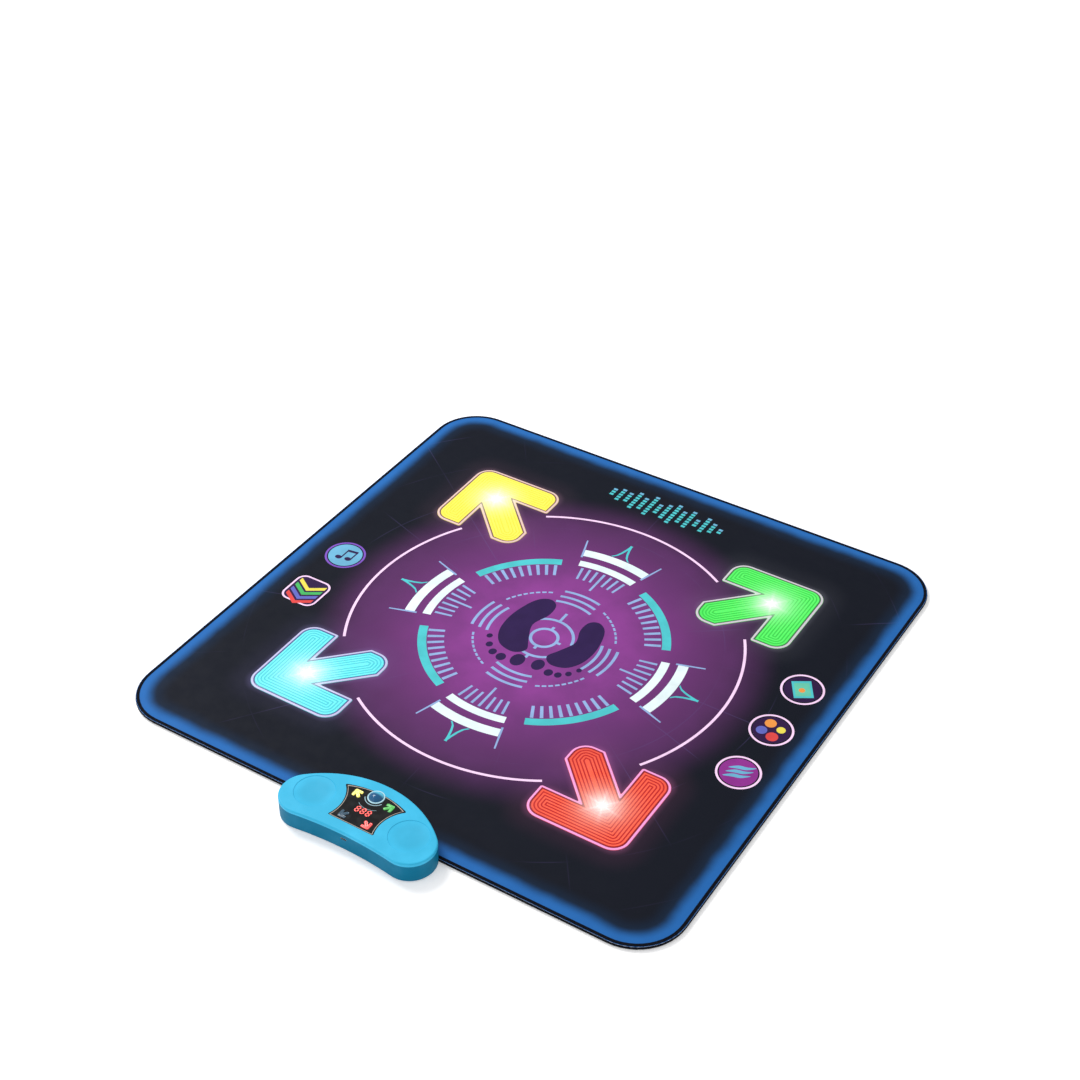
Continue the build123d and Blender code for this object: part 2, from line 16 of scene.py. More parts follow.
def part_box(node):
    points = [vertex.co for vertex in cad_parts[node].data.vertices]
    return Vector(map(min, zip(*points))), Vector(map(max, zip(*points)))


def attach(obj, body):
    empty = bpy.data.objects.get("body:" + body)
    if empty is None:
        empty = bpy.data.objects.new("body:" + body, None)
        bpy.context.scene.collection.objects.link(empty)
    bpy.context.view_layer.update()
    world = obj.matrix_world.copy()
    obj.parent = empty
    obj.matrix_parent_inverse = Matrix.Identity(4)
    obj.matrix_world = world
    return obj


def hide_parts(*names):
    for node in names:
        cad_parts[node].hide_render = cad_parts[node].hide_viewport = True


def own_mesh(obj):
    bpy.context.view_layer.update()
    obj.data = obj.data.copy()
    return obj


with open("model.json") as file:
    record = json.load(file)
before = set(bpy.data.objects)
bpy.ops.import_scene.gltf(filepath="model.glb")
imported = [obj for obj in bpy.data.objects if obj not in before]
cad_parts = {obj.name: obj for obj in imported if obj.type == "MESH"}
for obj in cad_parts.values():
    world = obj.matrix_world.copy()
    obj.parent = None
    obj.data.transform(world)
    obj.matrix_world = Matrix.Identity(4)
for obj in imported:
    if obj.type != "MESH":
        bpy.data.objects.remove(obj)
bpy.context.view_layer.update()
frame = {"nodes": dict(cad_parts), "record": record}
MM = 0.001

# ---- Sizes read from the frame, in millimetres


def box_mm(node):
    low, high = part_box(node)
    return low / MM, high / MM


def middle_mm(node):
    low, high = box_mm(node)
    return (low + high) / 2


BINDING_LOW, BINDING_HIGH = box_mm("edge_binding")
SHEET_HIGH = box_mm("top_sheet")[1]
PAD_LOW, PAD_HIGH = box_mm("arrow_pad_green")
BASE_HIGH = box_mm("base_sheet")[1]
PLATE_LOW, PLATE_HIGH = box_mm("clamp_plate")
LENS_LOW, LENS_HIGH = box_mm("display_lens")

HALF = BINDING_HIGH.x  # half the mat's side
CORNER = 75.0  # radius of the mat's corners
LAP = 6.0  # the binding's lap over the sheet
FLANGE = 3.0  # the pads' hidden flange
ARROW = PAD_HIGH.x - PAD_LOW.x - 2 * FLANGE  # side of the square that an arrow fills
ARROW_AT = (PAD_HIGH.x + PAD_LOW.x) / 2
ARM_SHARE = 0.35  # width of an arrow's two arms, as a share of its size
SHAFT_SHARE = 0.187  # half the width of its shaft, likewise
WINDOW_GAP = 0.4
LIGHT_AT = 13.0  # the light is this far from an arrow's centre, towards its point
POCKET_R, POCKET_Z = 11.0, 6.3  # the pocket for the light in a pad's underside
PRINT_GAP = 0.01  # the print on the lens stands just clear of it
DISH_X, DISH_Y = 78.0, -457.0  # middle of the dish at each end of the control box
TURNS = {"green": 0, "yellow": 90, "cyan": 180, "red": 270}


# ---- Colours
def srgb(red, green, blue):
    """A colour written as 0 to 255 values, as the linear values that shaders take."""
    values = []
    for value in (red, green, blue):
        value /= 255
        values.append(value / 12.92 if value <= 0.04045 else ((value + 0.055) / 1.055) ** 2.4)
    return (*values, 1.0)


def palette(**colours):
    return {name: srgb(*values) for name, values in colours.items()}


def shade(colour, factor, lift=0.0):
    """A colour made darker or lighter."""
    return (*(min(1.0, channel * factor + lift) for channel in colour[:3]), 1.0)


INK = palette(
    ring=(240, 205, 238), white=(224, 240, 243), teal=(78, 196, 203), tick=(144, 174, 220),
    foot=(46, 26, 78), disc=(48, 22, 70), orange=(235, 150, 70), violet=(126, 84, 190),
    plum=(142, 48, 142), mint=(104, 200, 172), blue=(98, 104, 190), sky=(108, 176, 210),
    red=(220, 72, 70), lemon=(232, 216, 84), leaf=(70, 176, 96),
)
INK_GLOW = {"white": 0.14, "ring": 0.2, "foot": 0.0, "disc": 0.0}  # the others glow by 0.08

# The pads' ribs, the lines between them, the tone over the light, the rim, the groove inside it
# and the light thrown on the sheet
LIT = palette(yellow=(252, 240, 76), green=(76, 244, 92), cyan=(100, 242, 244), red=(250, 84, 50))
LINES = palette(yellow=(248, 232, 70), green=(50, 208, 70), cyan=(74, 206, 220), red=(190, 20, 22))
GLOW = palette(yellow=(255, 250, 196), green=(176, 255, 184), cyan=(196, 252, 255), red=(255, 186, 170))
RIMS = palette(yellow=(234, 200, 190), green=(206, 200, 208), cyan=(196, 194, 232), red=(248, 160, 220))
GROOVES = palette(yellow=(132, 92, 92), green=(70, 124, 78), cyan=(78, 98, 160), red=(160, 20, 34))
HALO = palette(yellow=(190, 140, 170), green=(160, 160, 175), cyan=(160, 150, 215), red=(215, 120, 180))

# The keys' faces, the lines on them, and how strongly both are lit
KEYS = palette(yellow=(226, 214, 96), green=(58, 156, 64), cyan=(26, 62, 84), red=(226, 62, 60))
KEY_LINES = palette(yellow=(250, 244, 176), green=(120, 210, 120), cyan=(48, 92, 116), red=(255, 150, 140))
KEY_GLOW = {"yellow": 0.45, "green": 0.35, "cyan": 0.05, "red": 0.45}


# ---- Shader helpers
class Value:
    """A number that shader nodes work out, with ordinary arithmetic."""

    def __init__(self, shader, socket):
        self.shader, self.socket = shader, socket

    def math(self, operation, *others, **more):
        return self.shader.math(operation, self, *others, **more)

    def __add__(self, other):
        return self.math("ADD", other)

    def __sub__(self, other):
        return self.math("SUBTRACT", other)

    def __rsub__(self, other):
        return self.shader.math("SUBTRACT", other, self)

    def __mul__(self, other):
        return self.math("MULTIPLY", other)

    def __abs__(self):
        return self.math("ABSOLUTE")

    def fade(self, start, end, low=0.0, high=1.0, smooth=True):
        """Goes from low to high as the value goes from start to end."""
        made = self.shader.node("ShaderNodeMapRange", clamp=True)
        made.interpolation_type = "SMOOTHSTEP" if smooth else "LINEAR"
        for socket, number in zip(made.inputs, (self, start, end, low, high)):
            self.shader.feed(socket, number)
        return Value(self.shader, made.outputs[0])


def length(first, second):
    """The distance that two offsets at right angles make."""
    return (first * first + second * second).math("SQRT")


class Shader:
    """A Principled material with short calls for the nodes that feed it."""

    def __init__(self, name, **sockets):
        self.material = bpy.data.materials.new(name)
        self.material.use_nodes = True
        self.tree = self.material.node_tree
        self.bsdf = self.tree.nodes["Principled BSDF"]
        self.place = None
        for socket, value in sockets.items():
            self.bsdf.inputs[socket.replace("_", " ")].default_value = value

    def node(self, kind, **settings):
        made = self.tree.nodes.new(kind)
        for name, value in settings.items():
            setattr(made, name, value)
        return made

    def feed(self, socket, value):
        if isinstance(value, (int, float, tuple)):
            socket.default_value = value
        else:
            self.tree.links.new(value.socket if isinstance(value, Value) else value, socket)

    def set(self, name, value):
        self.feed(self.bsdf.inputs[name], value)

    def paint(self, tone):
        """Gives the surface and the light that it gives off the same colour."""
        self.set("Base Color", tone)
        self.set("Emission Color", tone)

    def where(self):
        if self.place is None:
            self.place = self.node("ShaderNodeTexCoord").outputs["Object"]
        return self.place

    def axes(self):
        split = self.node("ShaderNodeSeparateXYZ")
        self.feed(split.inputs[0], self.where())
        return [Value(self, socket) for socket in split.outputs]

    def math(self, operation, first, second=0.0, third=None, clamp=False):
        made = self.node("ShaderNodeMath", operation=operation, use_clamp=clamp)
        self.feed(made.inputs[0], first)
        self.feed(made.inputs[1], second)
        if third is not None:
            self.feed(made.inputs[2], third)
        return Value(self, made.outputs[0])

    def mix(self, share, first, second):
        made = self.node("ShaderNodeMix", data_type="RGBA")
        for index, value in ((0, share), (6, first), (7, second)):
            self.feed(made.inputs[index], value)
        return made.outputs[2]

    def texture(self, kind, place=None, **inputs):
        made = self.node(kind)
        self.feed(made.inputs["Vector"], place or self.where())
        for name, value in inputs.items():
            made.inputs[name].default_value = value
        return made

    def noise(self, scale, detail=2.0, stretch=None):
        place = self.where()
        if stretch:
            mapping = self.node("ShaderNodeMapping")
            self.feed(mapping.inputs[0], place)
            mapping.inputs["Scale"].default_value = stretch
            place = mapping.outputs[0]
        return Value(self, self.texture("ShaderNodeTexNoise", place, Scale=scale, Detail=detail).outputs[0])

    def cells(self, scale):
        return Value(self, self.texture("ShaderNodeTexVoronoi", Scale=scale).outputs["Distance"])

    def wave(self, scale, direction, distortion=0.0):
        made = self.texture("ShaderNodeTexWave", Scale=scale, Distortion=distortion)
        made.bands_direction = direction
        return Value(self, made.outputs[1])

    def weave(self, threads_per_mm):
        """Over-and-under cloth: two sets of threads at right angles."""
        scale = threads_per_mm / MM * 2 * math.pi / 20  # a wave texture repeats every 20 / (2 pi)
        return self.wave(scale, "X", 0.6) * self.wave(scale, "Y", 0.6)

    def bump(self, height, strength, depth_mm):
        """Adds relief to the relief that is there already."""
        normal = self.bsdf.inputs["Normal"]
        made = self.node("ShaderNodeBump")
        made.inputs["Strength"].default_value = strength
        made.inputs["Distance"].default_value = depth_mm * MM
        self.feed(made.inputs["Height"], height)
        if normal.is_linked:
            self.feed(made.inputs["Normal"], normal.links[0].from_socket)
        self.set("Normal", made.outputs[0])

    def rough(self, low, high, scale=60.0, detail=4.0):
        self.set("Roughness", self.noise(scale, detail).fade(0.3, 0.7, low, high))


def box_distance(across, along, half_across, half_along, centre_across, centre_along, bend):
    """Distance outside a box with round corners, from two coordinates."""
    sides = ((across, half_across, centre_across), (along, half_along, centre_along))
    out = [(abs(v - centre) - (half - bend)).math("MAXIMUM", 0.0) for v, half, centre in sides]
    return length(*out) - bend


def arrow_distance(x, y):
    """Distance outside the nearest arrow. x and y are folded so that all four fall on one."""
    half, arm = ARROW / 2 * MM, ARM_SHARE * ARROW / 2 * MM
    shaft, bend = SHAFT_SHARE * ARROW * MM, 0.13 * ARROW * MM
    u, v = (abs(value) - ARROW_AT * MM for value in (x, y))
    across, along = (u - v) * math.sqrt(0.5), (u + v) * math.sqrt(0.5)
    stem = box_distance(across, along, shaft, half, 0.0, -half * 0.2, bend)
    first = box_distance(u, v, arm, half, half - arm, 0.0, bend)
    second = box_distance(v, u, arm, half, half - arm, 0.0, bend)
    return stem.math("MINIMUM", first.math("MINIMUM", second))


def quadrant_colour(x, y, colours):
    """The colour of the arrow in the same quarter of the mat."""
    east, north = (value.math("GREATER_THAN", 0.0) for value in (x, y))
    mix = x.shader.mix
    near = mix(east, colours["cyan"], colours["red"])
    far = mix(east, colours["yellow"], colours["green"])
    return mix(north, near, far)


# ---- Materials
def leather_grain(shader, strength=0.25):
    """Fine pebbled coating over a slightly uneven cloth."""
    shader.bump(shader.cells(1500.0).fade(0.0, 0.7), strength, 0.06)
    shader.bump(shader.noise(90.0, 3.0), 0.06, 0.2)
    shader.rough(0.52, 0.60)


def print_material():
    """The printed sheet: blue border, dark ground, violet disc, faint lines, light from the pads."""
    shader = Shader("sheet_print", Specular_IOR_Level=0.07)
    x, y, _ = shader.axes()
    ground = shader.mix(shader.noise(7.0), srgb(14, 18, 29), srgb(19, 23, 35))

    radius = length(x, y)
    violet = shader.mix(radius.fade(0.06, 0.31), srgb(147, 67, 153), srgb(80, 44, 88))
    mottle = shader.mix(0.5, violet, srgb(96, 50, 106))
    violet = shader.mix(shader.noise(16.0, 5.0).fade(0.3, 0.75), violet, mottle)
    ground = shader.mix(radius.fade(0.275, 0.36, 1.0, 0.0), ground, violet)

    # Faint spokes and rings, broken up by noise
    spoke = abs((y.math("ARCTAN2", x) * 10.0).math("SINE")) * radius
    ring = radius.math("PINGPONG", 0.045)
    faint = spoke.fade(0.0, 0.012, 1.0, 0.0).math("MAXIMUM", ring.fade(0.0, 0.0012, 0.7, 0.0))
    faint = faint * shader.noise(5.0).fade(0.48, 0.66) * radius.fade(0.12, 0.26)
    ground = shader.mix(faint * 0.32, ground, srgb(96, 84, 140))

    # Distance in from the edge of the rounded square, a little unsteady
    past = [(abs(value) - (HALF - CORNER) * MM).math("MAXIMUM", 0.0) for value in (x, y)]
    corner = CORNER * MM - length(*past)
    side_x, side_y = (HALF * MM - abs(value) for value in (x, y))
    depth = corner.math("MINIMUM", side_x.math("MINIMUM", side_y))
    depth = depth + (shader.noise(22.0, 3.0) - 0.5) * 0.008
    haze, edge = depth.fade(0.020, 0.052, 0.30, 0.0), depth.fade(0.0115, 0.0315, 1.0, 0.0)
    blue = shader.mix(shader.noise(30.0, 3.0), srgb(34, 98, 170), srgb(42, 110, 184))
    shader.set("Base Color", shader.mix(edge, shader.mix(haze, ground, srgb(24, 62, 100)), blue))

    # Light that the pads throw on the sheet
    gap = arrow_distance(x, y)
    near, wide = gap.fade(-0.004, 0.010, 0.12, 0.0), gap.fade(0.0, 0.045, 0.03, 0.0)
    off = length(*(abs(value) - (ARROW_AT + LIGHT_AT) * MM for value in (x, y)))
    shader.set("Emission Color", quadrant_colour(x, y, HALO))
    shader.set("Emission Strength", near + wide + off.fade(0.014, 0.062, 0.16, 0.0))
    leather_grain(shader)
    return shader.material


def ink_material(name, colour, glow):
    """Printed ink on the same coated cloth, a little patchy."""
    shader = Shader(f"ink_{name}", Specular_IOR_Level=0.1, Emission_Strength=glow)
    shader.paint(shader.mix(shader.noise(45.0, 5.0).fade(0.25, 0.7), shade(colour, 0.85), colour))
    leather_grain(shader, 0.2)
    return shader.material


def lit_material(name, part, turn):
    """Translucent pad lit from below: brightest over its light, which is near the arrow's point."""
    strength = {"face": 0.66, "line": 0.60, "rim": 0.62, "groove": 0.36, "wall": 0.3}[part]
    tone = {"line": LINES, "rim": RIMS, "groove": GROOVES}.get(part, LIT)[name]
    shader = Shader(f"pad_{name}_{part}", Specular_IOR_Level=0.3, Subsurface_Weight=0.15)
    shader.bsdf.inputs["Subsurface Scale"].default_value = 0.004
    light_x, light_y = at_arrow([(LIGHT_AT, LIGHT_AT)], turn)[0]
    x, y, _ = shader.axes()
    across, along = x - light_x * MM, y - light_y * MM
    away = length(across, along)
    core = away.fade(0.0, 0.040, 0.98, 0.0, smooth=False).math("POWER", 2.2)
    ray = abs(along.math("ARCTAN2", across).math("MULTIPLY_ADD", 3.0, 0.6).math("COSINE"))
    ray = ray.math("POWER", 16.0) * away.fade(0.006, 0.044, 0.16, 0.0)
    core = core.math("ADD", ray, clamp=True)
    spread = away.fade(0.0, 0.064, 0.56, 0.0)
    if part == "face":
        tone = shader.mix(away.fade(0.055, 0.115, 0.0, 0.38), tone, LINES[name])
        tone = shader.mix(shader.noise(70.0, 4.0) * 0.12, tone, GLOW[name])
    tone = shader.mix(core, shader.mix(spread, tone, GLOW[name]), srgb(255, 255, 255))
    shader.set("Base Color", shader.mix(0.55, tone, srgb(12, 12, 14)))
    shader.set("Emission Color", tone)
    lift = spread.math("MULTIPLY_ADD", 0.15, strength)
    shader.set("Emission Strength", core.math("MULTIPLY_ADD", 0.12, lift))
    shader.bump(shader.cells(420.0), 0.12, 0.12)
    shader.rough(0.28, 0.42, 40.0)
    return shader.material


def moulded(name, colour, low, high, grain=0.22, dust=0.06, gloss=0.45, painted_dish_shade=False):
    """Moulded plastic: fine spark texture, slight sink marks, a little handling wear and, when asked, painted
    shade in the box's dishes.
    """
    shader = Shader(name, Specular_IOR_Level=gloss)
    tone = shader.mix(shader.noise(24.0, 4.0).fade(0.35, 0.75), colour, shade(colour, 1.12, 0.01))
    # Painted shade: darker inside the shallow dish at each end of the box, where the hollow would be in shade
    if painted_dish_shade:
        x, y, _ = shader.axes()
        inside = length(abs(x) - DISH_X * MM, y - DISH_Y * MM).fade(0.014, 0.029, 0.30, 0.0)
        tone = shader.mix(inside, tone, shade(colour, 0.7))
    if dust:
        scuffs = shader.noise(160.0, 6.0, (1.0, 5.0, 1.0)).fade(0.68, 0.82, 0.0, dust)
        tone = shader.mix(scuffs, tone, srgb(225, 230, 235))
    shader.set("Base Color", tone)
    shader.bump(shader.noise(900.0), grain, 0.05)
    shader.bump(shader.noise(14.0, 1.0), 0.06, 0.4)
    shader.rough(low, high, 70.0)
    return shader.material


def metal(name, colour, low, high, stretch=(1.0, 14.0, 1.0)):
    """Plated sheet metal with a drawn grain."""
    shader = Shader(name, Metallic=1.0)
    shader.set("Base Color", shader.mix(shader.noise(220.0, 3.0, stretch), colour, shade(colour, 0.78)))
    shader.bump(shader.noise(600.0, 2.0, stretch), 0.15, 0.03)
    shader.rough(low, high, 120.0)
    return shader.material


def foam(name, colour):
    shader = Shader(name, Roughness=0.9, Specular_IOR_Level=0.2)
    shader.set("Base Color", shader.mix(shader.cells(700.0), colour, shade(colour, 0.75)))
    shader.bump(shader.cells(900.0), 0.5, 0.15)
    return shader.material


def cloth(name, colour, light, threads, sheen=0.15):
    """Woven tape or backing cloth."""
    shader = Shader(name, Specular_IOR_Level=0.1, Sheen_Weight=sheen)
    weave = shader.weave(threads)
    shader.set("Base Color", shader.mix(weave.fade(0.1, 0.8), colour, light))
    shader.bump(weave, 0.55, 0.12)
    shader.bump(shader.noise(400.0, 4.0), 0.2, 0.08)
    shader.rough(0.7, 0.9, 200.0)
    return shader.material


def glowing(name, colour, strength):
    """A small lit piece of coloured plastic."""
    shader = Shader(name, Coat_Weight=0.3, Emission_Strength=strength)
    shader.paint(shader.mix(shader.noise(500.0, 3.0), colour, shade(colour, 1.25, 0.03)))
    shader.bump(shader.noise(800.0), 0.08, 0.03)
    shader.rough(0.2, 0.35, 300.0)
    return shader.material


def lens_material():
    """Smoked acrylic with faint handling marks."""
    shader = Shader("lens_smoked", Specular_IOR_Level=0.3)
    marks = shader.noise(30.0, 4.0).fade(0.4, 0.8)
    shader.set("Base Color", shader.mix(marks, srgb(4, 4, 8), srgb(9, 8, 14)))
    shader.bump(shader.noise(60.0), 0.03, 0.1)
    shader.rough(0.10, 0.22, 90.0, 6.0)
    return shader.material


def cap_material():
    """Clear blue cap: deep in front, and pale at the back, a painted reflection of the bright sky."""
    shader = Shader("button_gloss", Specular_IOR_Level=0.25, Coat_Weight=0.1)
    middle = middle_mm("dome_button").y
    # Painted reflection: the back of the dome turns pale as if it mirrored the bright sky
    pale = shader.axes()[1].fade((middle + 0.5) * MM, (middle + 6.0) * MM)
    tone = shader.mix(pale, srgb(4, 80, 128), srgb(92, 196, 226))
    cloudy = shader.noise(24.0, 4.0).fade(0.35, 0.75, 0.0, 0.1)
    shader.set("Base Color", shader.mix(cloudy, tone, srgb(160, 220, 240)))
    shader.bump(shader.noise(14.0, 1.0), 0.06, 0.4)
    shader.rough(0.08, 0.16, 70.0)
    return shader.material


def board_material():
    """Solder mask with a lattice of tracks."""
    shader = Shader("board_mask", Coat_Weight=0.3)
    tracks = shader.cells(260.0).fade(0.28, 0.34)
    shader.set("Base Color", shader.mix(tracks, srgb(26, 96, 52), srgb(14, 66, 36)))
    shader.bump(tracks, 0.2, 0.04)
    shader.rough(0.3, 0.45, 100.0)
    return shader.material


def film_material():
    shader = Shader("film_clear", Roughness=0.2, Transmission_Weight=0.35)
    tracks = shader.wave(90.0, "X").fade(0.86, 0.94)
    shader.set("Base Color", shader.mix(tracks, srgb(205, 212, 216), srgb(120, 124, 130)))
    shader.bump(tracks, 0.2, 0.03)
    return shader.material


# ---- Mesh helpers
def make_mesh(name, points, faces, materials, material_of=None, angle=32.0):
    """A mesh piece with edges that are sharp past an angle in degrees."""
    mesh = bpy.data.meshes.new(name)
    mesh.from_pydata([(x * MM, y * MM, z * MM) for x, y, z in points], [], faces)
    for material in materials:
        mesh.materials.append(material)
    if material_of is not None:
        mesh.polygons.foreach_set("material_index", material_of)
    mesh.validate()
    piece = bpy.data.objects.new(name, mesh)
    bpy.context.scene.collection.objects.link(piece)
    mesh.shade_smooth()
    mesh.set_sharp_from_angle(angle=math.radians(angle))
    mesh.update()
    return piece


def weld(piece, distance):
    """Joins points that fall together, so that the piece is one closed skin."""
    work = bmesh.new()
    work.from_mesh(piece.data)
    bmesh.ops.remove_doubles(work, verts=work.verts, dist=distance)
    bmesh.ops.recalc_face_normals(work, faces=work.faces)
    work.to_mesh(piece.data)
    work.free()
    piece.data.update()


class Build:
    """Collects the loops and faces of one piece."""

    def __init__(self):
        self.points, self.faces, self.inks = [], [], []

    def loop(self, outline, z):
        start = len(self.points)
        self.points += [(x, y, z) for x, y in outline]
        return list(range(start, len(self.points)))

    def add(self, face, ink=0):
        self.faces.append(tuple(face))
        self.inks.append(ink)

    def skin(self, low, high, ink=0):
        """Quads between two closed loops of the same length."""
        count = len(low)
        for i in range(count):
            j = (i + 1) % count
            self.add((low[i], low[j], high[j], high[i]), ink)

    def cap(self, ring, ink=0, down=False):
        self.add(reversed(ring) if down else ring, ink)

    def tube(self, rings):
        """Skins each ring to the next, and the last to the first."""
        for i, ring in enumerate(rings):
            self.skin(ring, rings[(i + 1) % len(rings)])

    def rise(self, before, steps):
        """Skins up from a loop through steps of (outline, z, ink), and returns the last loop."""
        for outline, z, ink in steps:
            now = self.loop(outline, z)
            self.skin(before, now, ink)
            before = now
        return before

    def prism(self, outline, low, high):
        """A closed upright solid on an outline."""
        foot, head = self.loop(outline, low), self.loop(outline, high)
        self.skin(foot, head)
        self.cap(head)
        self.cap(foot, down=True)

    def piece(self, name, materials, join=0.00002, **more):
        """Makes the piece, with points closer than join, in metres, made one."""
        piece = make_mesh(name, self.points, self.faces, materials, self.inks, **more)
        if join:
            weld(piece, join)
        return piece


def turned(points, degrees):
    """Turns points about the origin."""
    c, s = math.cos(math.radians(degrees)), math.sin(math.radians(degrees))
    return [(x * c - y * s, x * s + y * c) for x, y in points]


def moved(points, x, y):
    return [(a + x, b + y) for a, b in points]


def at_arrow(points, turn):
    """Places what is drawn about an arrow's own centre at one of the four arrows."""
    return turned(moved(points, ARROW_AT, ARROW_AT), turn)


def polar(radius, degrees):
    return (radius * math.cos(math.radians(degrees)), radius * math.sin(math.radians(degrees)))


def circle(radius, count=48, x=0.0, y=0.0, squash=1.0):
    points = (polar(radius, 360 * i / count) for i in range(count))
    return [(x + across, y + along * squash) for across, along in points]


def rectangle(low_x, high_x, low_y, high_y):
    return [(low_x, low_y), (high_x, low_y), (high_x, high_y), (low_x, high_y)]


def band(inner, outer, start, end, step=3.0):
    """A flat arc-shaped band about the centre, between two radii, angles in degrees."""
    count = max(1, round(abs(end - start) / step))
    angles = [start + (end - start) * i / count for i in range(count + 1)]
    return [polar(outer, a) for a in angles] + [polar(inner, a) for a in reversed(angles)]


def bar(start, end, width, end_width=None):
    """A straight stroke between two points."""
    (x0, y0), (x1, y1) = start, end
    reach = math.hypot(x1 - x0, y1 - y0)
    nx, ny = -(y1 - y0) / reach / 2, (x1 - x0) / reach / 2
    far = width if end_width is None else end_width
    near_side = [(x0 - nx * width, y0 - ny * width), (x1 - nx * far, y1 - ny * far)]
    return near_side + [(x1 + nx * far, y1 + ny * far), (x0 + nx * width, y0 + ny * width)]


def smooth_outline(points, steps=5):
    """A closed smooth curve through a few points."""
    count, out = len(points), []
    for i in range(count):
        p0, p1, p2, p3 = (Vector(points[(i + k) % count]) for k in (-1, 0, 1, 2))
        square, cube = 2 * p0 - 5 * p1 + 4 * p2 - p3, 3 * p1 - p0 - 3 * p2 + p3
        for k in range(steps):
            t = k / steps
            out.append((0.5 * (2 * p1 + (p2 - p0) * t + square * t * t + cube * t**3))[:])
    return out


def rounded_square(half, corner, segments=14):
    out = []
    for quarter, (sx, sy) in enumerate(((1, 1), (-1, 1), (-1, -1), (1, -1))):
        arc_points = [polar(corner, 90 * quarter + 90 * i / segments) for i in range(segments + 1)]
        out += moved(arc_points, sx * (half - corner), sy * (half - corner))
    return out


def divided(outline, counts):
    """The same closed outline, with each side in a number of pieces."""
    out = []
    for (x0, y0), (x1, y1), count in zip(outline, outline[1:] + outline[:1], counts):
        out += [(x0 + (x1 - x0) * k / count, y0 + (y1 - y0) * k / count) for k in range(count)]
    return out


def spaced(outline, gap):
    """The same closed outline with extra points on its long sides."""
    sides = zip(outline, outline[1:] + outline[:1])
    return divided(outline, [max(1, round(math.hypot(c - a, d - b) / gap)) for (a, b), (c, d) in sides])


def rounded(corners, inset, least=0.3):
    """A closed outline with round corners, given anticlockwise as (x, y, radius), moved inwards.

    Notches keep their radius at every inset. Every inset gives the same number of points, so
    outlines can be skinned together."""
    count, out = len(corners), []
    for i, (x, y, radius) in enumerate(corners):
        here = Vector((x, y))
        before = (here - Vector(corners[i - 1][:2])).normalized()
        after = (Vector(corners[(i + 1) % count][:2]) - here).normalized()
        first, second = Vector((before.y, -before.x)), Vector((after.y, -after.x))
        mitre = (first + second) / (1 + first.dot(second))
        side = 1 if before.x * after.y - before.y * after.x > 0 else -1
        bend = max(radius - inset, least) if side > 0 else radius
        centre = here - mitre * (inset + bend * side)
        start, turn = math.atan2(first.y * side, first.x * side), side * first.angle(second)
        steps = 8 if radius > 10 else 5
        for k in range(steps + 1):
            a = start + turn * k / steps
            out.append((centre.x + bend * math.cos(a), centre.y + bend * math.sin(a)))
    return out


def arrow_corners(size):
    """Corners of the arrow, of its head alone and of its shaft alone, about the arrow's centre."""
    arm, stem = ARM_SHARE * size, 0.264 * size  # the stem's half width, measured along the arms
    inner, large, small, notch = size - arm, 0.159 * size, 0.022 * size, 0.008 * size
    under = inner + 0.16 * size
    shaft = [(0, stem, small), (0, 0, large), (stem, 0, small)]
    head = [(inner, 0, small), (size, 0, large), (size, size, large)]
    head += [(0, size, large), (0, inner, small)]
    whole = shaft + [(inner, inner - stem, notch)] + head + [(inner - stem, inner, notch)]
    shaft += [(under, under - stem, small), (under - stem, under, small)]
    head += [(inner, inner, notch)]
    plans = (whole, head, shaft)
    return [[(x - size / 2, y - size / 2, radius) for x, y, radius in plan] for plan in plans]


def arrow_outline(size, inset):
    """The pads' outline about its own centre, pointing to (+X, +Y), moved inwards by inset."""
    return rounded(arrow_corners(size)[0], inset)


def anticlockwise(outline):
    sides = zip(outline, outline[1:] + outline[:1])
    twice_area = sum(x0 * y1 - x1 * y0 for (x0, y0), (x1, y1) in sides)
    return outline if twice_area > 0 else list(reversed(outline))


def filled(shapes, spots=()):
    """Triangles for flat shapes painted in order, later ones on top, inside the first one.

    shapes is a list of (outline, tag). Triangles keep the tag of the last shape over them, and a
    tag of None leaves a hole. Returns points, triangles and the tag of each."""
    points, faces = [], []
    for outline, _ in shapes:
        start = len(points)
        points += [Vector(p) for p in anticlockwise(outline)]
        faces.append(list(range(start, len(points))))
    points += [Vector(p) for p in spots]
    verts, _, triangles, _, _, origins = delaunay_2d_cdt(points, [], faces, 0, 1e-4)
    kept, tags = [], []
    for triangle, origin in zip(triangles, origins):
        tag = shapes[max(origin)][1] if 0 in origin else None
        if tag is None:
            continue
        a, b, c = (verts[i] for i in triangle)
        upward = (b - a).cross(c - a) >= 0
        kept.append(tuple(triangle if upward else reversed(triangle)))
        tags.append(tag)
    used = sorted({i for triangle in kept for i in triangle})
    index = {old: new for new, old in enumerate(used)}
    return [tuple(verts[i]) for i in used], [tuple(index[i] for i in t) for t in kept], tags


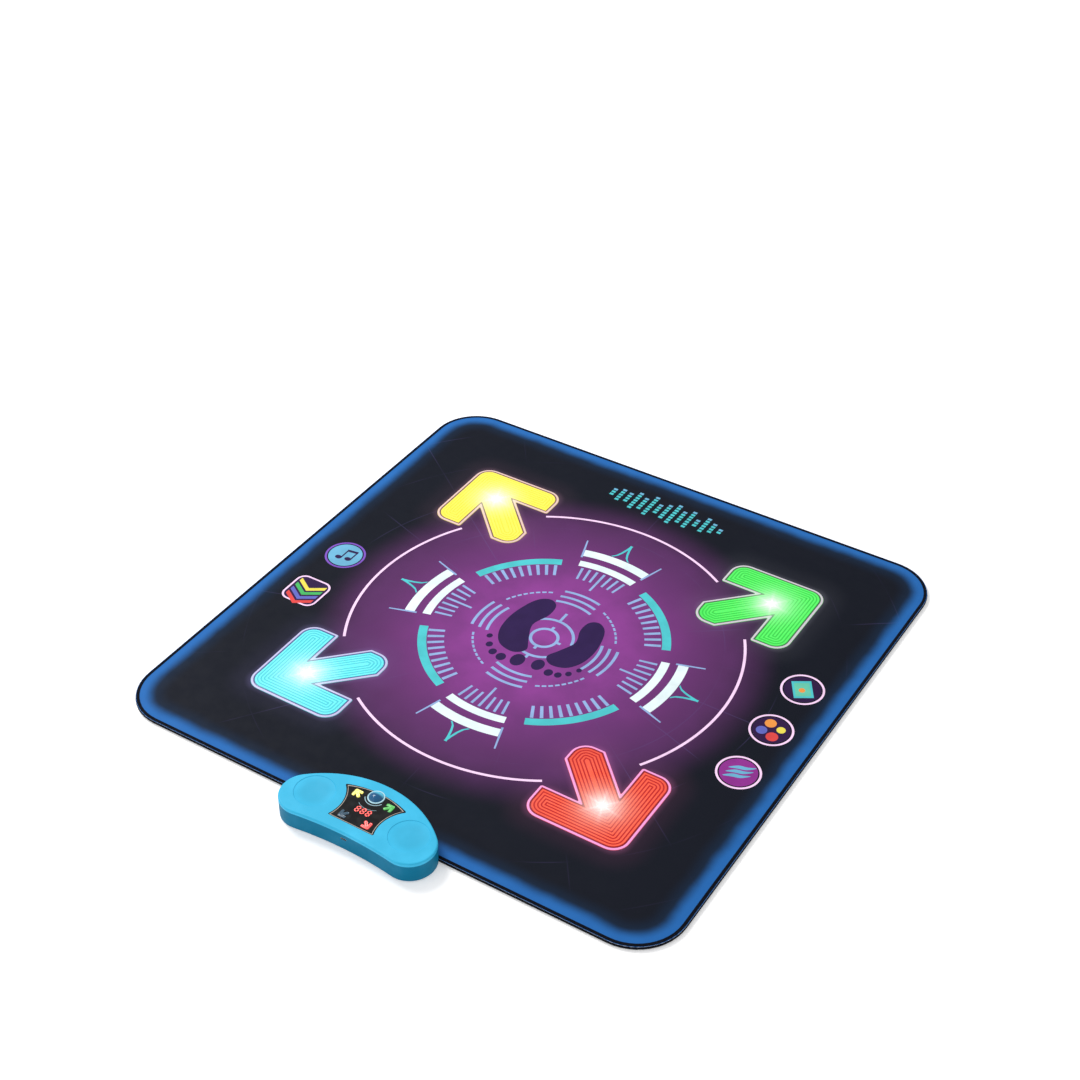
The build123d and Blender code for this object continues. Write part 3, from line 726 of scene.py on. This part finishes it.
# ---- The print on the mat
def dial_marks():
    """Rings, bars, ticks and arcs about the centre."""
    marks = []

    def arcs(low, high, middle, reach, ink, step=3.0):
        marks.append((band(low, high, middle - reach, middle + reach, step), ink))

    def ray(at, low, high, width, high_width):
        marks.append((bar(polar(low, at), polar(high, at), width, high_width), "tick"))

    for axis in (0, 90, 180, 270):
        diagonal = axis + 45
        arcs(297.9, 302.1, axis, 31.6, "ring", 2.0)

        # Broad arc on the diagonal with its comb of ticks
        arcs(176.5, 190, diagonal, 21.6, "teal", 2.0)
        for k in range(9):
            ray(diagonal + (k - 4) * 4.7, 175, 150, 5.2, 4.6)
        for k in range(8):
            arcs(105.6, 109, diagonal + (k - 3.5) * 5.2, 1.8, "tick")

        # Double bar on the axis, its side lines, the spike outside and the comb inside
        arcs(207, 222.5, axis, 15.0, "white", 2.0)
        arcs(181, 194, axis, 15.0, "white", 2.0)
        for side in (-1, 1):
            foot, tip = polar(203, axis + side * 15.3), polar(247, axis + side * 15.8)
            marks.append((bar(foot, tip, 3.4, 2.4), "tick"))
            flare = [(224, 4.2), (230, 2.6), (239, 1.6), (251, 0.8), (262, 0.3)]
            outer = [polar(r, axis + side * a) for r, a in flare]
            back = [polar(r, axis + side * (a - 0.85)) for r, a in reversed(flare)]
            marks.append((outer + back, "teal"))
        for k in range(7):
            ray(axis + (k - 3) * 4.1, 177, 131 if k == 3 else 149, 4.2, 3.6)
        for radius in (114, 101, 88.5):
            arcs(radius - 2.3, radius + 2.3, axis, 1795 / radius, "tick")

    # Sight at the centre
    marks += [(circle(23.0), "tick"), (circle(18.2), "ground")]
    for at in (0, 90, 270):
        ray(at, 22, 28.5, 4.6, 4.6)
    marks += [(band(41.4, 46.0, 8, 150), "tick"), (band(41.4, 46.0, 232, 308), "tick")]
    marks += [(bar((0, 45), (0, 65), 4.4), "tick"), (bar((0, -45), (0, -52), 4.4), "tick")]
    return marks


FOOT_SOLE = [(-38, 79), (-24, 70), (-22, 46), (-31, 16), (-19, -14), (-9, -36)]
FOOT_SOLE += [(-24, -50), (-50, -44), (-66, -20), (-70, 14), (-64, 48), (-54, 70)]
FOOT_TOES = [(-8, -61, 10.5, 1.25), (-32, -68, 7.4, 1.1), (-48, -65, 6.0, 1.1)]
FOOT_TOES += [(-61, -54, 5.2, 1.1), (-71, -38, 4.5, 1.1)]  # x, y, radius and how tall for its width


def footprint_marks():
    """A generic pair of feet, toes towards the control box."""
    marks = []
    shapes = [smooth_outline(FOOT_SOLE)] + [circle(r, 24, x, y, tall) for x, y, r, tall in FOOT_TOES]
    for scale, shift, flip in ((1.03, 1.0, False), (0.92, 17.0, True)):
        for shape in shapes:
            shape = [(x * scale, y * scale) for x, y in shape]
            if flip:
                shape = [(-x, y) for x, y in reversed(shape)]
            marks.append((moved(shape, shift, 0), "foot"))
    return marks


def badge(x, y, rim, ground):
    rings = ((32.5, rim), (29.2, "ground"), (27.2, ground))
    return [(circle(radius, 56, x, y), ink) for radius, ink in rings]


def badge_marks():
    """Plain badges down both sides: a tile, dots, waves, a note and chevrons."""
    x, tilt = 378, 32
    marks = badge(x, 103, "ring", "disc")
    for wide, tall, ink in ((14.5, 18, "teal"), (11.2, 14, "mint")):
        marks.append((moved(turned(rectangle(-wide, wide, -tall, tall), tilt), x, 103), ink))
    marks.append((circle(4.8, 20, x, 101), "orange"))

    marks += badge(x, 3, "ring", "disc")
    for k, (ink, size) in enumerate((("orange", 8.6), ("blue", 8.2), ("red", 9.0), ("lemon", 6.6))):
        across, along = polar(13.8, 90 * k + 88 + tilt)
        marks.append((circle(size, 24, x + across, 3 + along), ink))

    marks += badge(x, -97, "ring", "plum")
    wave = smooth_outline([(-17, -7), (-6, 3), (6, 6), (18, 11), (8, 1), (-4, -3)])
    marks += [(moved(wave, x, -97 + lift), "sky") for lift in (-9, 0, 9)]

    x = -372
    marks += badge(x, 1, "violet", "sky")
    note = [circle(5.6, 20, -7, -8, 0.8), circle(5.6, 20, 9, -5, 0.8)]
    note += [bar((-2.6, -8), (-2.6, 14), 2.6), bar((13.4, -5), (13.4, 17), 2.6)]
    note += [bar((-3.9, 12.5), (14.7, 15.5), 5.0)]
    marks += [(moved(shape, x, 0), "foot") for shape in note]

    x, y = -370, -102
    for half, corner, ink in ((31, 15, "ring"), (28, 12.5, "disc")):
        marks.append((moved(rounded_square(half, corner, 8), x, y), ink))
    chevron = [(-24, -7.6), (0, -22.6), (24, -7.6), (24, 0), (0, -15), (-24, 0)]
    for k, ink in enumerate(("lemon", "leaf", "blue", "red")):
        marks.append((moved(chevron, x, y + 22 - 11.5 * k), ink))
    return marks


def meter_marks():
    """A row of level-meter bars where the far edge carries its title strip."""
    marks = []
    heights = (18, 34, 26, 50, 38, 56, 30, 44, 56, 36, 48, 24, 40, 28, 16)
    pitch, width, middle, step, block = 14.2, 7.0, 373.0, 7.0, 4.8
    for k, tall in enumerate(heights):
        x = pitch * (k - (len(heights) - 1) / 2)
        blocks = max(2, round(tall / step))
        for b in range(blocks):
            y = middle - tall / 2 + b * step
            ink = "teal" if b < blocks - 1 else "sky"
            marks.append((rectangle(x - width / 2, x + width / 2, y, y + block), ink))
    return marks


def sheet_height(x, y):
    """Surface of the printed sheet: soft, and pulled down at its edge."""
    edge = HALF - max(abs(x), abs(y))
    ox, oy = abs(x) - (HALF - CORNER), abs(y) - (HALF - CORNER)
    if ox > 0 and oy > 0:
        edge = CORNER - math.hypot(ox, oy)
    drop = 0.12 + 0.75 * math.exp(-((max(edge - 4.0, 0.0) / 8.0) ** 2))
    ripple = 0.16 * math.sin(x / 37 + 1.3) * math.sin(y / 43 + 0.4) + 0.10 * math.sin((x + y) / 71)
    under_box = y <= -380 and abs(x) <= 140
    return SHEET_HIGH.z - drop + (0.0 if under_box else ripple * min(1.0, edge / 60))


def on_outline(outlines, places):
    """A test of whether a point is one of the outlines' own."""
    found = {(round(x, places), round(y, places)) for outline in outlines for x, y in outline}
    return lambda x, y: (round(x, places), round(y, places)) in found


def build_sheet():
    """One sheet of coated cloth with its print, cut out for the pads."""
    order = ["ground"] + sorted(INK)
    materials = [print_material()]
    materials += [ink_material(name, INK[name], INK_GLOW.get(name, 0.08)) for name in order[1:]]
    half = SHEET_HIGH.x
    corner, gap, grid = CORNER - (HALF - half), 12.0, 14.0
    shapes = [(spaced(rounded_square(half, corner), gap), "ground")]
    shapes += dial_marks() + footprint_marks() + badge_marks() + meter_marks()
    spots = []
    for inset in (3, 6, 9, 13, 18, 25):
        spots += spaced(rounded_square(half - inset, corner - inset), gap)
    count = int((half - 32) / grid)
    spots += [(i * grid, j * grid) for i in range(-count, count + 1) for j in range(-count, count + 1)]
    lip = spaced(arrow_outline(ARROW, -2.2), 8.0)
    windows = [at_arrow(arrow_outline(ARROW, -WINDOW_GAP), turn) for turn in TURNS.values()]
    for turn in TURNS.values():
        spots += at_arrow(lip, turn)
    points, faces, tags = filled(shapes + [(window, None) for window in windows], spots)
    at_rim = on_outline(windows, 2)
    surface = [(x, y, sheet_height(x, y) - (0.35 if at_rim(x, y) else 0.0)) for x, y in points]
    inks = [order.index(tag) for tag in tags]
    piece = make_mesh("printed_sheet", surface, faces, materials, inks, angle=60)
    for face in faces:
        a, b, c = (Vector(points[i]) for i in face)
    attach(piece, "mat")
    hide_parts("top_sheet")


# ---- Arrow pads
def relief(build, shapes, height, inks, place):
    """Paints shapes in order, each tag at its own height, with upright steps between the tags."""
    points, triangles, tags = filled(shapes)
    corners, sides = {}, {}

    def corner(index, tag):
        if (index, tag) not in corners:
            x, y = points[index]
            corners[index, tag] = len(build.points)
            build.points.append((*place([(x, y)])[0], height(x, y, tag)))
        return corners[index, tag]

    for triangle, tag in zip(triangles, tags):
        build.add((corner(index, tag) for index in triangle), inks[tag])
        for k in range(3):
            sides[triangle[k], triangle[(k + 1) % 3]] = tag
    for (a, b), tag in sides.items():
        other = sides.get((b, a))
        if tag == "face" and other == "line":
            build.add((corner(b, tag), corner(a, tag), corner(a, other), corner(b, other)), inks[other])


def pad_depth(x, y):
    """Roughly how far inside the arrow's outline a point lies, from the arrow's centre."""
    half, arm = ARROW / 2, ARM_SHARE * ARROW / 2
    across, along = (x - y) * math.sqrt(0.5), (x + y) * math.sqrt(0.5)
    arms = [min(arm - abs(u - (half - arm)), half - abs(v)) for u, v in ((x, y), (y, x))]
    return max(*arms, min(SHAFT_SHARE * ARROW - abs(across), along + half))


def build_pad(colour, turn):
    """Domed translucent arrow with a bright rim, a groove and ribbed head and shaft."""
    build = Build()
    looks = ("face", "line", "groove", "wall", "rim")
    face, line, groove, wall, rim = range(5)
    low, top = PAD_LOW.z, PAD_HIGH.z
    whole, head, shaft = arrow_corners(ARROW)
    edge, floor = 5.6, top - 0.25  # where the ribbed face starts, and how high the groove's floor is
    rib_pitch, slit, rib_rise = 5.0, 2.1, 0.22
    deepest, crown = 27.0, 0.5  # the face swells by its crown up to this depth

    def place(outline):
        return at_arrow(outline, turn)

    profile = [(-FLANGE, low + 0.8, wall), (0.0, low + 0.8, wall), (0.0, top - 0.45, wall)]
    profile += [(0.25, top - 0.12, rim), (0.7, top, rim), (3.4, top + 0.03, rim)]
    profile += [(3.65, floor, groove), (edge, floor, groove)]
    flange = place(rounded(whole, -FLANGE))
    build.rise(build.loop(flange, low), ((place(rounded(whole, inset)), z, ink) for inset, z, ink in profile))

    # Ribs: the shaft's first, then the head's over them
    border = rounded(whole, edge)
    shapes = [(border, "line")]
    for plan in (shaft, head):
        if plan is head:
            shapes.append((rounded(plan, edge - 1.2), "line"))
        first = edge + 0.5
        while first < deepest:
            shapes.append((rounded(plan, first), "face"))
            if first + rib_pitch < deepest:
                shapes.append((rounded(plan, first + rib_pitch - slit), "line"))
            first += rib_pitch
    on_border = on_outline([border], 3)

    def height(x, y, tag):
        if on_border(x, y):
            return floor
        share = min(1.0, max(0.0, pad_depth(x, y) - edge) / (deepest - edge))
        return floor + crown * math.sin(math.pi / 2 * share) + (rib_rise if tag == "face" else 0.0)

    relief(build, shapes, height, {"face": face, "line": line}, place)

    # Underside with the pocket for the light
    pocket = place(circle(POCKET_R, 40, LIGHT_AT, LIGHT_AT))
    under, faces, _ = filled([(flange, 0), (pocket, None)])
    offset = len(build.points)
    build.points += [(x, y, low) for x, y in under]
    for triangle in faces:
        build.add((offset + i for i in reversed(triangle)), wall)
    mouth, roof = build.loop(pocket, low), build.loop(pocket, POCKET_Z)
    build.skin(roof, mouth, wall)
    build.cap(roof, wall, down=True)

    materials = [lit_material(colour, part, turn) for part in looks]
    piece = build.piece(f"lit_arrow_{colour}", materials, angle=40)
    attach(piece, f"arrow_{colour}")
    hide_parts(f"arrow_pad_{colour}")


def build_foam_ring(colour, turn):
    """Springy foam under a pad's flange, which the pad squeezes as it goes down; it is drawn at rest."""
    low, high = (corner.z for corner in box_mm(f"return_foam_{colour}"))
    middle = (low + high) / 2
    build = Build()
    section = [(-2.5, low), (-2.9, middle), (-2.5, high), (5.5, high), (5.9, middle), (5.5, low)]
    build.tube([build.loop(at_arrow(arrow_outline(ARROW, inset), turn), z) for inset, z in section])
    piece = build.piece(f"foam_ring_{colour}", [FOAM], angle=60)
    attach(piece, "mat")
    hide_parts(f"return_foam_{colour}")
    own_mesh(piece)


# ---- Edge binding
def build_binding():
    """Folded tape round the edge, stitched through; the stitches are drawn on top."""
    low, top = BINDING_LOW.z, BINDING_HIGH.z - 1.0
    mid, bulge = (low + top) / 2, (top - low) / 2
    profile = [(LAP + 0.1, low + 0.02), (LAP - 1.4, low)]
    for k in range(9):
        a = math.radians(-90 + 180 * k / 8)
        profile.append((2.6 * (1 - math.cos(a)), mid + bulge * math.sin(a)))
    profile += [(LAP - 2.2, top - 0.02), (LAP - 1.3, top - 0.28), (LAP - 0.5, top - 0.05)]
    profile += [(LAP + 0.1, top - 0.12), (LAP + 0.15, top - 0.62), (LAP - 1.4, top - 0.75)]
    profile += [(3.0, top - 0.8), (1.1, mid), (3.0, low + 0.6), (LAP, low + 0.5)]
    build = Build()
    arc_steps, side_pieces = 12, 30
    counts = ([1] * arc_steps + [side_pieces]) * 4
    rings = []
    for inset, z in profile:
        square = rounded_square(HALF - inset, CORNER - inset, arc_steps)
        rings.append(build.loop(divided(square, counts), z))
    build.tube(rings)
    piece = build.piece("binding_tape", [BINDING], angle=55)
    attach(piece, "mat")
    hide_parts("edge_binding")

    # Lock stitches along the lap, each a step shorter than the pitch
    stitches = Build()
    pitch, seam = 4, LAP - 1.3
    walk = spaced(rounded_square(HALF - seam, CORNER - seam, 40), 1.0)
    for start in range(0, len(walk) - pitch, pitch):
        add_stitch(stitches, walk[start], walk[start + pitch - 1], top - 0.12)
    thread = stitches.piece("binding_stitches", [THREAD], join=None, angle=70)
    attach(thread, "mat")


def add_stitch(build, start, end, z, width=0.5):
    """One stitch: a low six-sided thread that dives into the tape at both ends."""
    (x0, y0), (x1, y1) = start, end
    reach = math.hypot(x1 - x0, y1 - y0)
    tx, ty = (x1 - x0) / reach, (y1 - y0) / reach
    rows = []
    for share, lift in ((0.0, -0.35), (0.15, 0.05), (0.5, 0.16), (0.85, 0.05), (1.0, -0.35)):
        cx, cy, first = x0 + (x1 - x0) * share, y0 + (y1 - y0) * share, len(build.points)
        for side, up in circle(width / 2, 6):
            build.points.append((cx - ty * side, cy + tx * side, z + lift + up))
        rows.append(range(first, first + 6))
    for low, high in zip(rows, rows[1:]):
        build.skin(low, high)
    build.cap(rows[0], down=True)
    build.cap(rows[-1])


# ---- Underside
def build_underside():
    """Backing cloth with rows of soft grip dots, cut out round the clamp plate."""
    half, top, bottom, gap = BASE_HIGH.x, BASE_HIGH.z, 0.5, 1
    room = rectangle(PLATE_LOW.x - gap, PLATE_HIGH.x + gap, PLATE_LOW.y - gap, PLATE_HIGH.y + gap)
    outline = rounded_square(half, CORNER - (HALF - half))
    points, faces, _ = filled([(outline, 0), (room, None)])
    build = Build()
    count = len(points)
    build.points = [(x, y, z) for z in (top, bottom) for x, y in points]
    for face in faces:
        build.add(face)
        build.add(count + i for i in reversed(face))
    build.skin(build.loop(outline, bottom), build.loop(outline, top))
    build.skin(build.loop(room, top), build.loop(room, bottom))
    cloth_piece = build.piece("backing_cloth", [BACKING], angle=40)
    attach(cloth_piece, "mat")
    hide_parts("base_sheet")

    dots = Build()
    pitch, clear = 22.0, 6
    rows = int((half - 14) / pitch)
    for i in range(-rows, rows + 1):
        for j in range(-rows, rows + 1):
            x, y = i * pitch + (pitch / 2 if j % 2 else 0), j * pitch
            past_x, past_y = (max(abs(value) - half + 70, 0) for value in (x, y))
            in_room = abs(x) < PLATE_HIGH.x + clear and PLATE_LOW.y - clear < y < PLATE_HIGH.y + clear
            if abs(x) > half - 8 or math.hypot(past_x, past_y) > 58 or in_room:
                continue
            levels = ((2.6, bottom + 0.02), (2.2, 0.16), (1.2, 0.0))
            base, belly, tip = (dots.loop(circle(radius, 8, x, y), z) for radius, z in levels)
            dots.skin(belly, base)
            dots.skin(tip, belly)
            dots.cap(tip, down=True)
            dots.cap(base)
    grip = dots.piece("grip_dots", [GRIP], join=None, angle=50)
    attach(grip, "mat")


# ---- Control box
def raised(name, outlines, z, thick, look):
    """Flat shapes as thin closed pieces standing on a surface."""
    build = Build()
    for outline in outlines:
        build.prism(outline, z, z + thick)
    piece = build.piece(name, [look], join=0.000001, angle=30)
    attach(piece, "mat")


# Middle of each of a digit's segments, in its width and half its height, and whether it lies flat
SEGMENTS = [(0, 1, True), (0, 0, True), (0, -1, True), (-0.5, 0.5, False), (0.5, 0.5, False)]
SEGMENTS += [(-0.5, -0.5, False), (0.5, -0.5, False)]


def digit_shapes(x, y, wide=4.8, tall=9.4, thick=1.5, lean=0.10):
    """All seven segments of one display digit."""
    shapes, t = [], thick / 2
    for sx, sy, flat in SEGMENTS:
        half = (wide if flat else tall / 2) / 2 - thick * 0.32
        outline = [(-half, 0), (-half + t, -t), (half - t, -t), (half, 0), (half - t, t), (-half + t, t)]
        outline = moved(outline if flat else [(-b, a) for a, b in outline], sx * wide, sy * tall / 2)
        shapes.append([(x + a + lean * b, y + b) for a, b in outline])
    return shapes


def build_digits():
    middle, pitch = middle_mm("digit_display"), 8.8
    shapes = []
    for k in (-1, 0, 1):
        shapes += digit_shapes(middle.x + k * pitch, middle.y)
    raised("display_digits", shapes, LENS_HIGH.z + PRINT_GAP, 0.05, DIGIT)


def arc(start, middle, end, steps=14):
    """Points along the arc through three points, without the last one."""
    a, b, c = Vector(start), Vector(middle), Vector(end)
    first, second = b - a, c - a
    towards_x = second.y * first.length_squared - first.y * second.length_squared
    towards_y = first.x * second.length_squared - second.x * first.length_squared
    centre = a + Vector((towards_x, towards_y)) / (2 * first.cross(second))
    spoke = a - centre
    a0 = math.atan2(spoke.y, spoke.x)
    sweep = math.atan2((c - centre).y, (c - centre).x) - a0
    sweep = (sweep + math.pi) % (2 * math.pi) - math.pi
    points = [polar(spoke.length, math.degrees(a0 + sweep * k / steps)) for k in range(steps)]
    return moved(points, centre.x, centre.y)


def lens_outline(inset):
    """The lens: bowed top edge, waisted sides and straight bottom edge, moved inwards."""
    high, low = LENS_HIGH.y - inset, LENS_LOW.y + inset
    top = (LENS_HIGH.x - 1.6 - 1.96 * inset, high - 9.4)
    bottom = (0.735 * LENS_HIGH.x - 1.63 * inset, low)
    waist = (0.665 * LENS_HIGH.x - inset, low + 23.5)
    left = [(-x, y) for x, y in (top, waist, bottom)]
    return arc(top, (0, high), left[0]) + arc(*left) + [left[2]] + arc(bottom, waist, top)


def build_lens_print_and_highlight():
    """Thin arcs printed under the button, and a pale strip round the lens that is a painted highlight of the
    shell's edge.
    """
    x, y, _ = middle_mm("button_ring")
    arcs = []
    for radius, width, reach in ((15.2, 1.2, 64), (24.5, 0.5, 36)):
        curve = band(radius - width / 2, radius + width / 2, 270 - reach, 270 + reach)
        arcs.append(moved(curve, x, y))
    raised("lens_arcs", arcs, LENS_HIGH.z + PRINT_GAP, 0.04, PALE)

    # Painted highlight: a pale strip round the lens where the shell's edge catches the light
    build = Build()
    section = ((0.5, 0.0), (0.5, 0.06), (1.3, 0.06), (1.3, 0.0))
    build.tube([build.loop(lens_outline(inset), LENS_HIGH.z + z) for inset, z in section])
    border = build.piece("lens_edge_highlight", [EDGE_HIGHLIGHT], join=0.000001, angle=30)
    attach(border, "mat")


def build_key(colour):
    """Soft-edged arrow key with a raised border and its stem."""
    low, high = box_mm(f"key_{colour}")
    centre = middle_mm(f"key_{colour}")
    lip, foot, shoulder = 0.8, 29.9, 31.0
    size = high.x - low.x - 2 * lip
    build = Build()

    def outline(inset):
        return moved(turned(arrow_outline(size, inset), TURNS[colour]), centre.x, centre.y)

    profile = [(-lip, foot, 0), (-lip, shoulder, 0), (0.0, shoulder, 0), (0.0, 33.35, 0)]
    profile += [(0.12, 33.62, 0), (0.4, 33.75, 0), (1.0, 33.78, 0), (1.3, 33.6, 1), (1.75, 33.75, 0)]
    base = build.loop(outline(0.0), foot)
    build.cap(base, down=True)
    build.cap(build.rise(base, ((outline(inset), z, ink) for inset, z, ink in profile)))
    build.prism(circle(2.0, 20, centre.x, centre.y), low.z, foot + 0.05)
    bright = glowing(f"key_{colour}_lit", KEYS[colour], KEY_GLOW[colour])
    line = glowing(f"key_{colour}_line", KEY_LINES[colour], KEY_GLOW[colour])
    piece = build.piece(f"arrow_key_{colour}", [bright, line], join=0.000005, angle=35)
    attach(piece, f"key_{colour}")
    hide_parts(f"key_{colour}")


# ---- Shared materials, and those of the CAD nodes that stay
FOAM = foam("foam_cells", srgb(222, 222, 216))
BINDING = cloth("binding_weave", srgb(4, 6, 16), srgb(11, 14, 30), 1.3, sheen=0.0)
THREAD = cloth("thread_twist", srgb(12, 15, 30), srgb(30, 36, 60), 3.0, sheen=0.0)
BACKING = cloth("backing_weave", srgb(28, 29, 34), srgb(52, 54, 60), 1.0)
GRIP = moulded("grip_rubber", srgb(34, 34, 38), 0.55, 0.7)
DIGIT = glowing("digit_red", srgb(255, 84, 78), 1.2)
PALE = glowing("print_pale", srgb(140, 174, 186), 0.05)
# The pale strip round the lens is a painted highlight, not print
EDGE_HIGHLIGHT = glowing("painted_edge_highlight", srgb(168, 158, 146), 0.05)
# The lower shell takes a darker copy of the top's blue: painted shade for the box's side, which faces away
# from the key light
SHELL_SKY, SHELL_SIDE_SHADE = srgb(52, 182, 224), srgb(0, 112, 147)
SLOT_LOOKS = {
    "foam": FOAM,
    "switch_film": film_material(),
    "contact_ink": moulded("carbon_ink", srgb(40, 40, 42), 0.5, 0.65),
    "circuit_board": board_material(),
    "led": glowing("led_clear", srgb(255, 252, 240), 3.0),
    "steel": metal("steel_zinc", srgb(176, 178, 182), 0.28, 0.42),
    "shell_blue": moulded("shell_sky", SHELL_SKY, 0.36, 0.48, dust=0.02, gloss=0.18, painted_dish_shade=True),
    "shell_dark_blue": moulded("shell_side_painted_shade", SHELL_SIDE_SHADE, 0.44, 0.54, dust=0.01, gloss=0.08),
    "lens_black": lens_material(),
    "button_blue": cap_material(),
    "ring_pale": moulded("ring_frost", srgb(176, 222, 236), 0.25, 0.35, grain=0.05, dust=0.0),
    "display_red": moulded("display_case", srgb(40, 12, 14), 0.3, 0.4),
    "black_plastic": moulded("part_black", srgb(30, 30, 33), 0.4, 0.55),
    "speaker_paper": foam("cone_paper", srgb(44, 42, 42)),
    "magnet": metal("magnet_plate", srgb(120, 120, 124), 0.3, 0.5, (1.0, 1.0, 1.0)),
    "cell_jacket": moulded("cell_print", srgb(52, 62, 128), 0.25, 0.35, grain=0.03),
    "rubber": GRIP,
    "wire": moulded("wire_red", srgb(168, 40, 38), 0.4, 0.5),
    "binding": BINDING,
}


def dress_cad():
    """Gives every CAD node that stays its own finish."""
    slots = {row["node"]: row["material_slot"] for row in frame["record"]["subparts"]}
    for name, node in frame["nodes"].items():
        if slots[name] in SLOT_LOOKS:
            node.data.materials.clear()
            node.data.materials.append(SLOT_LOOKS[slots[name]])


# ---- Camera, light and floor
def build_stage():
    scene = bpy.context.scene
    reach = 9000
    corners = [(x, y, 0) for x, y in rectangle(-reach, reach, -reach, reach)]
    floor = make_mesh("floor", corners, [(0, 1, 2, 3)], [])
    floor.location.z = -0.0004
    shader = Shader("floor_pale", Roughness=0.75, Specular_IOR_Level=0.1, Emission_Strength=0.3)
    shader.paint(shader.mix(shader.noise(3.0, 3.0), srgb(247, 247, 248), srgb(251, 251, 252)))
    floor.data.materials.append(shader.material)

    world = bpy.data.worlds.new("studio")
    world.use_nodes = True
    sky = world.node_tree.nodes["Background"]
    sky.inputs[0].default_value = (1.0, 1.0, 1.0, 1.0)
    sky.inputs[1].default_value = 0.62
    scene.world = world

    lights = (
        ("key", (-2.3, 0.5, 2.9), 1.3, 86.0, (1.0, 0.985, 0.97)),
        ("fill", (-1.7, -2.2, 2.4), 2.4, 14.0, (0.96, 0.98, 1.0)),
    )
    for name, place, size, power, colour in lights:
        data = bpy.data.lights.new(name, "AREA")
        data.size, data.energy, data.color = size, power, colour
        light = bpy.data.objects.new(name, data)
        light.location = place
        light.rotation_euler = (-Vector(place)).to_track_quat("-Z", "Y").to_euler()
        scene.collection.objects.link(light)


def build_camera():
    """Looks down on the mat from beyond its control box, a little to the right."""
    azimuth, elevation, distance = math.radians(32.285), math.radians(37.912), 3.0611
    aim = Vector((-0.1374, 0.2056, 0.0))
    level = math.cos(elevation)
    back = Vector((math.sin(azimuth) * level, -math.cos(azimuth) * level, math.sin(elevation)))
    data = bpy.data.cameras.new("camera")
    data.sensor_width = 36.0
    data.lens = 63.68
    data.clip_end = 60.0
    camera = bpy.data.objects.new("camera", data)
    camera.location = aim + back * distance
    camera.rotation_euler = (-back).to_track_quat("-Z", "Y").to_euler()
    bpy.context.scene.collection.objects.link(camera)
    bpy.context.scene.camera = camera
    bpy.context.scene.view_settings.view_transform = "Standard"


dress_cad()
build_sheet()
for arrow_colour, arrow_turn in TURNS.items():
    build_pad(arrow_colour, arrow_turn)
    build_foam_ring(arrow_colour, arrow_turn)
    build_key(arrow_colour)
build_binding()
build_underside()
build_digits()
build_lens_print_and_highlight()
build_stage()
build_camera()
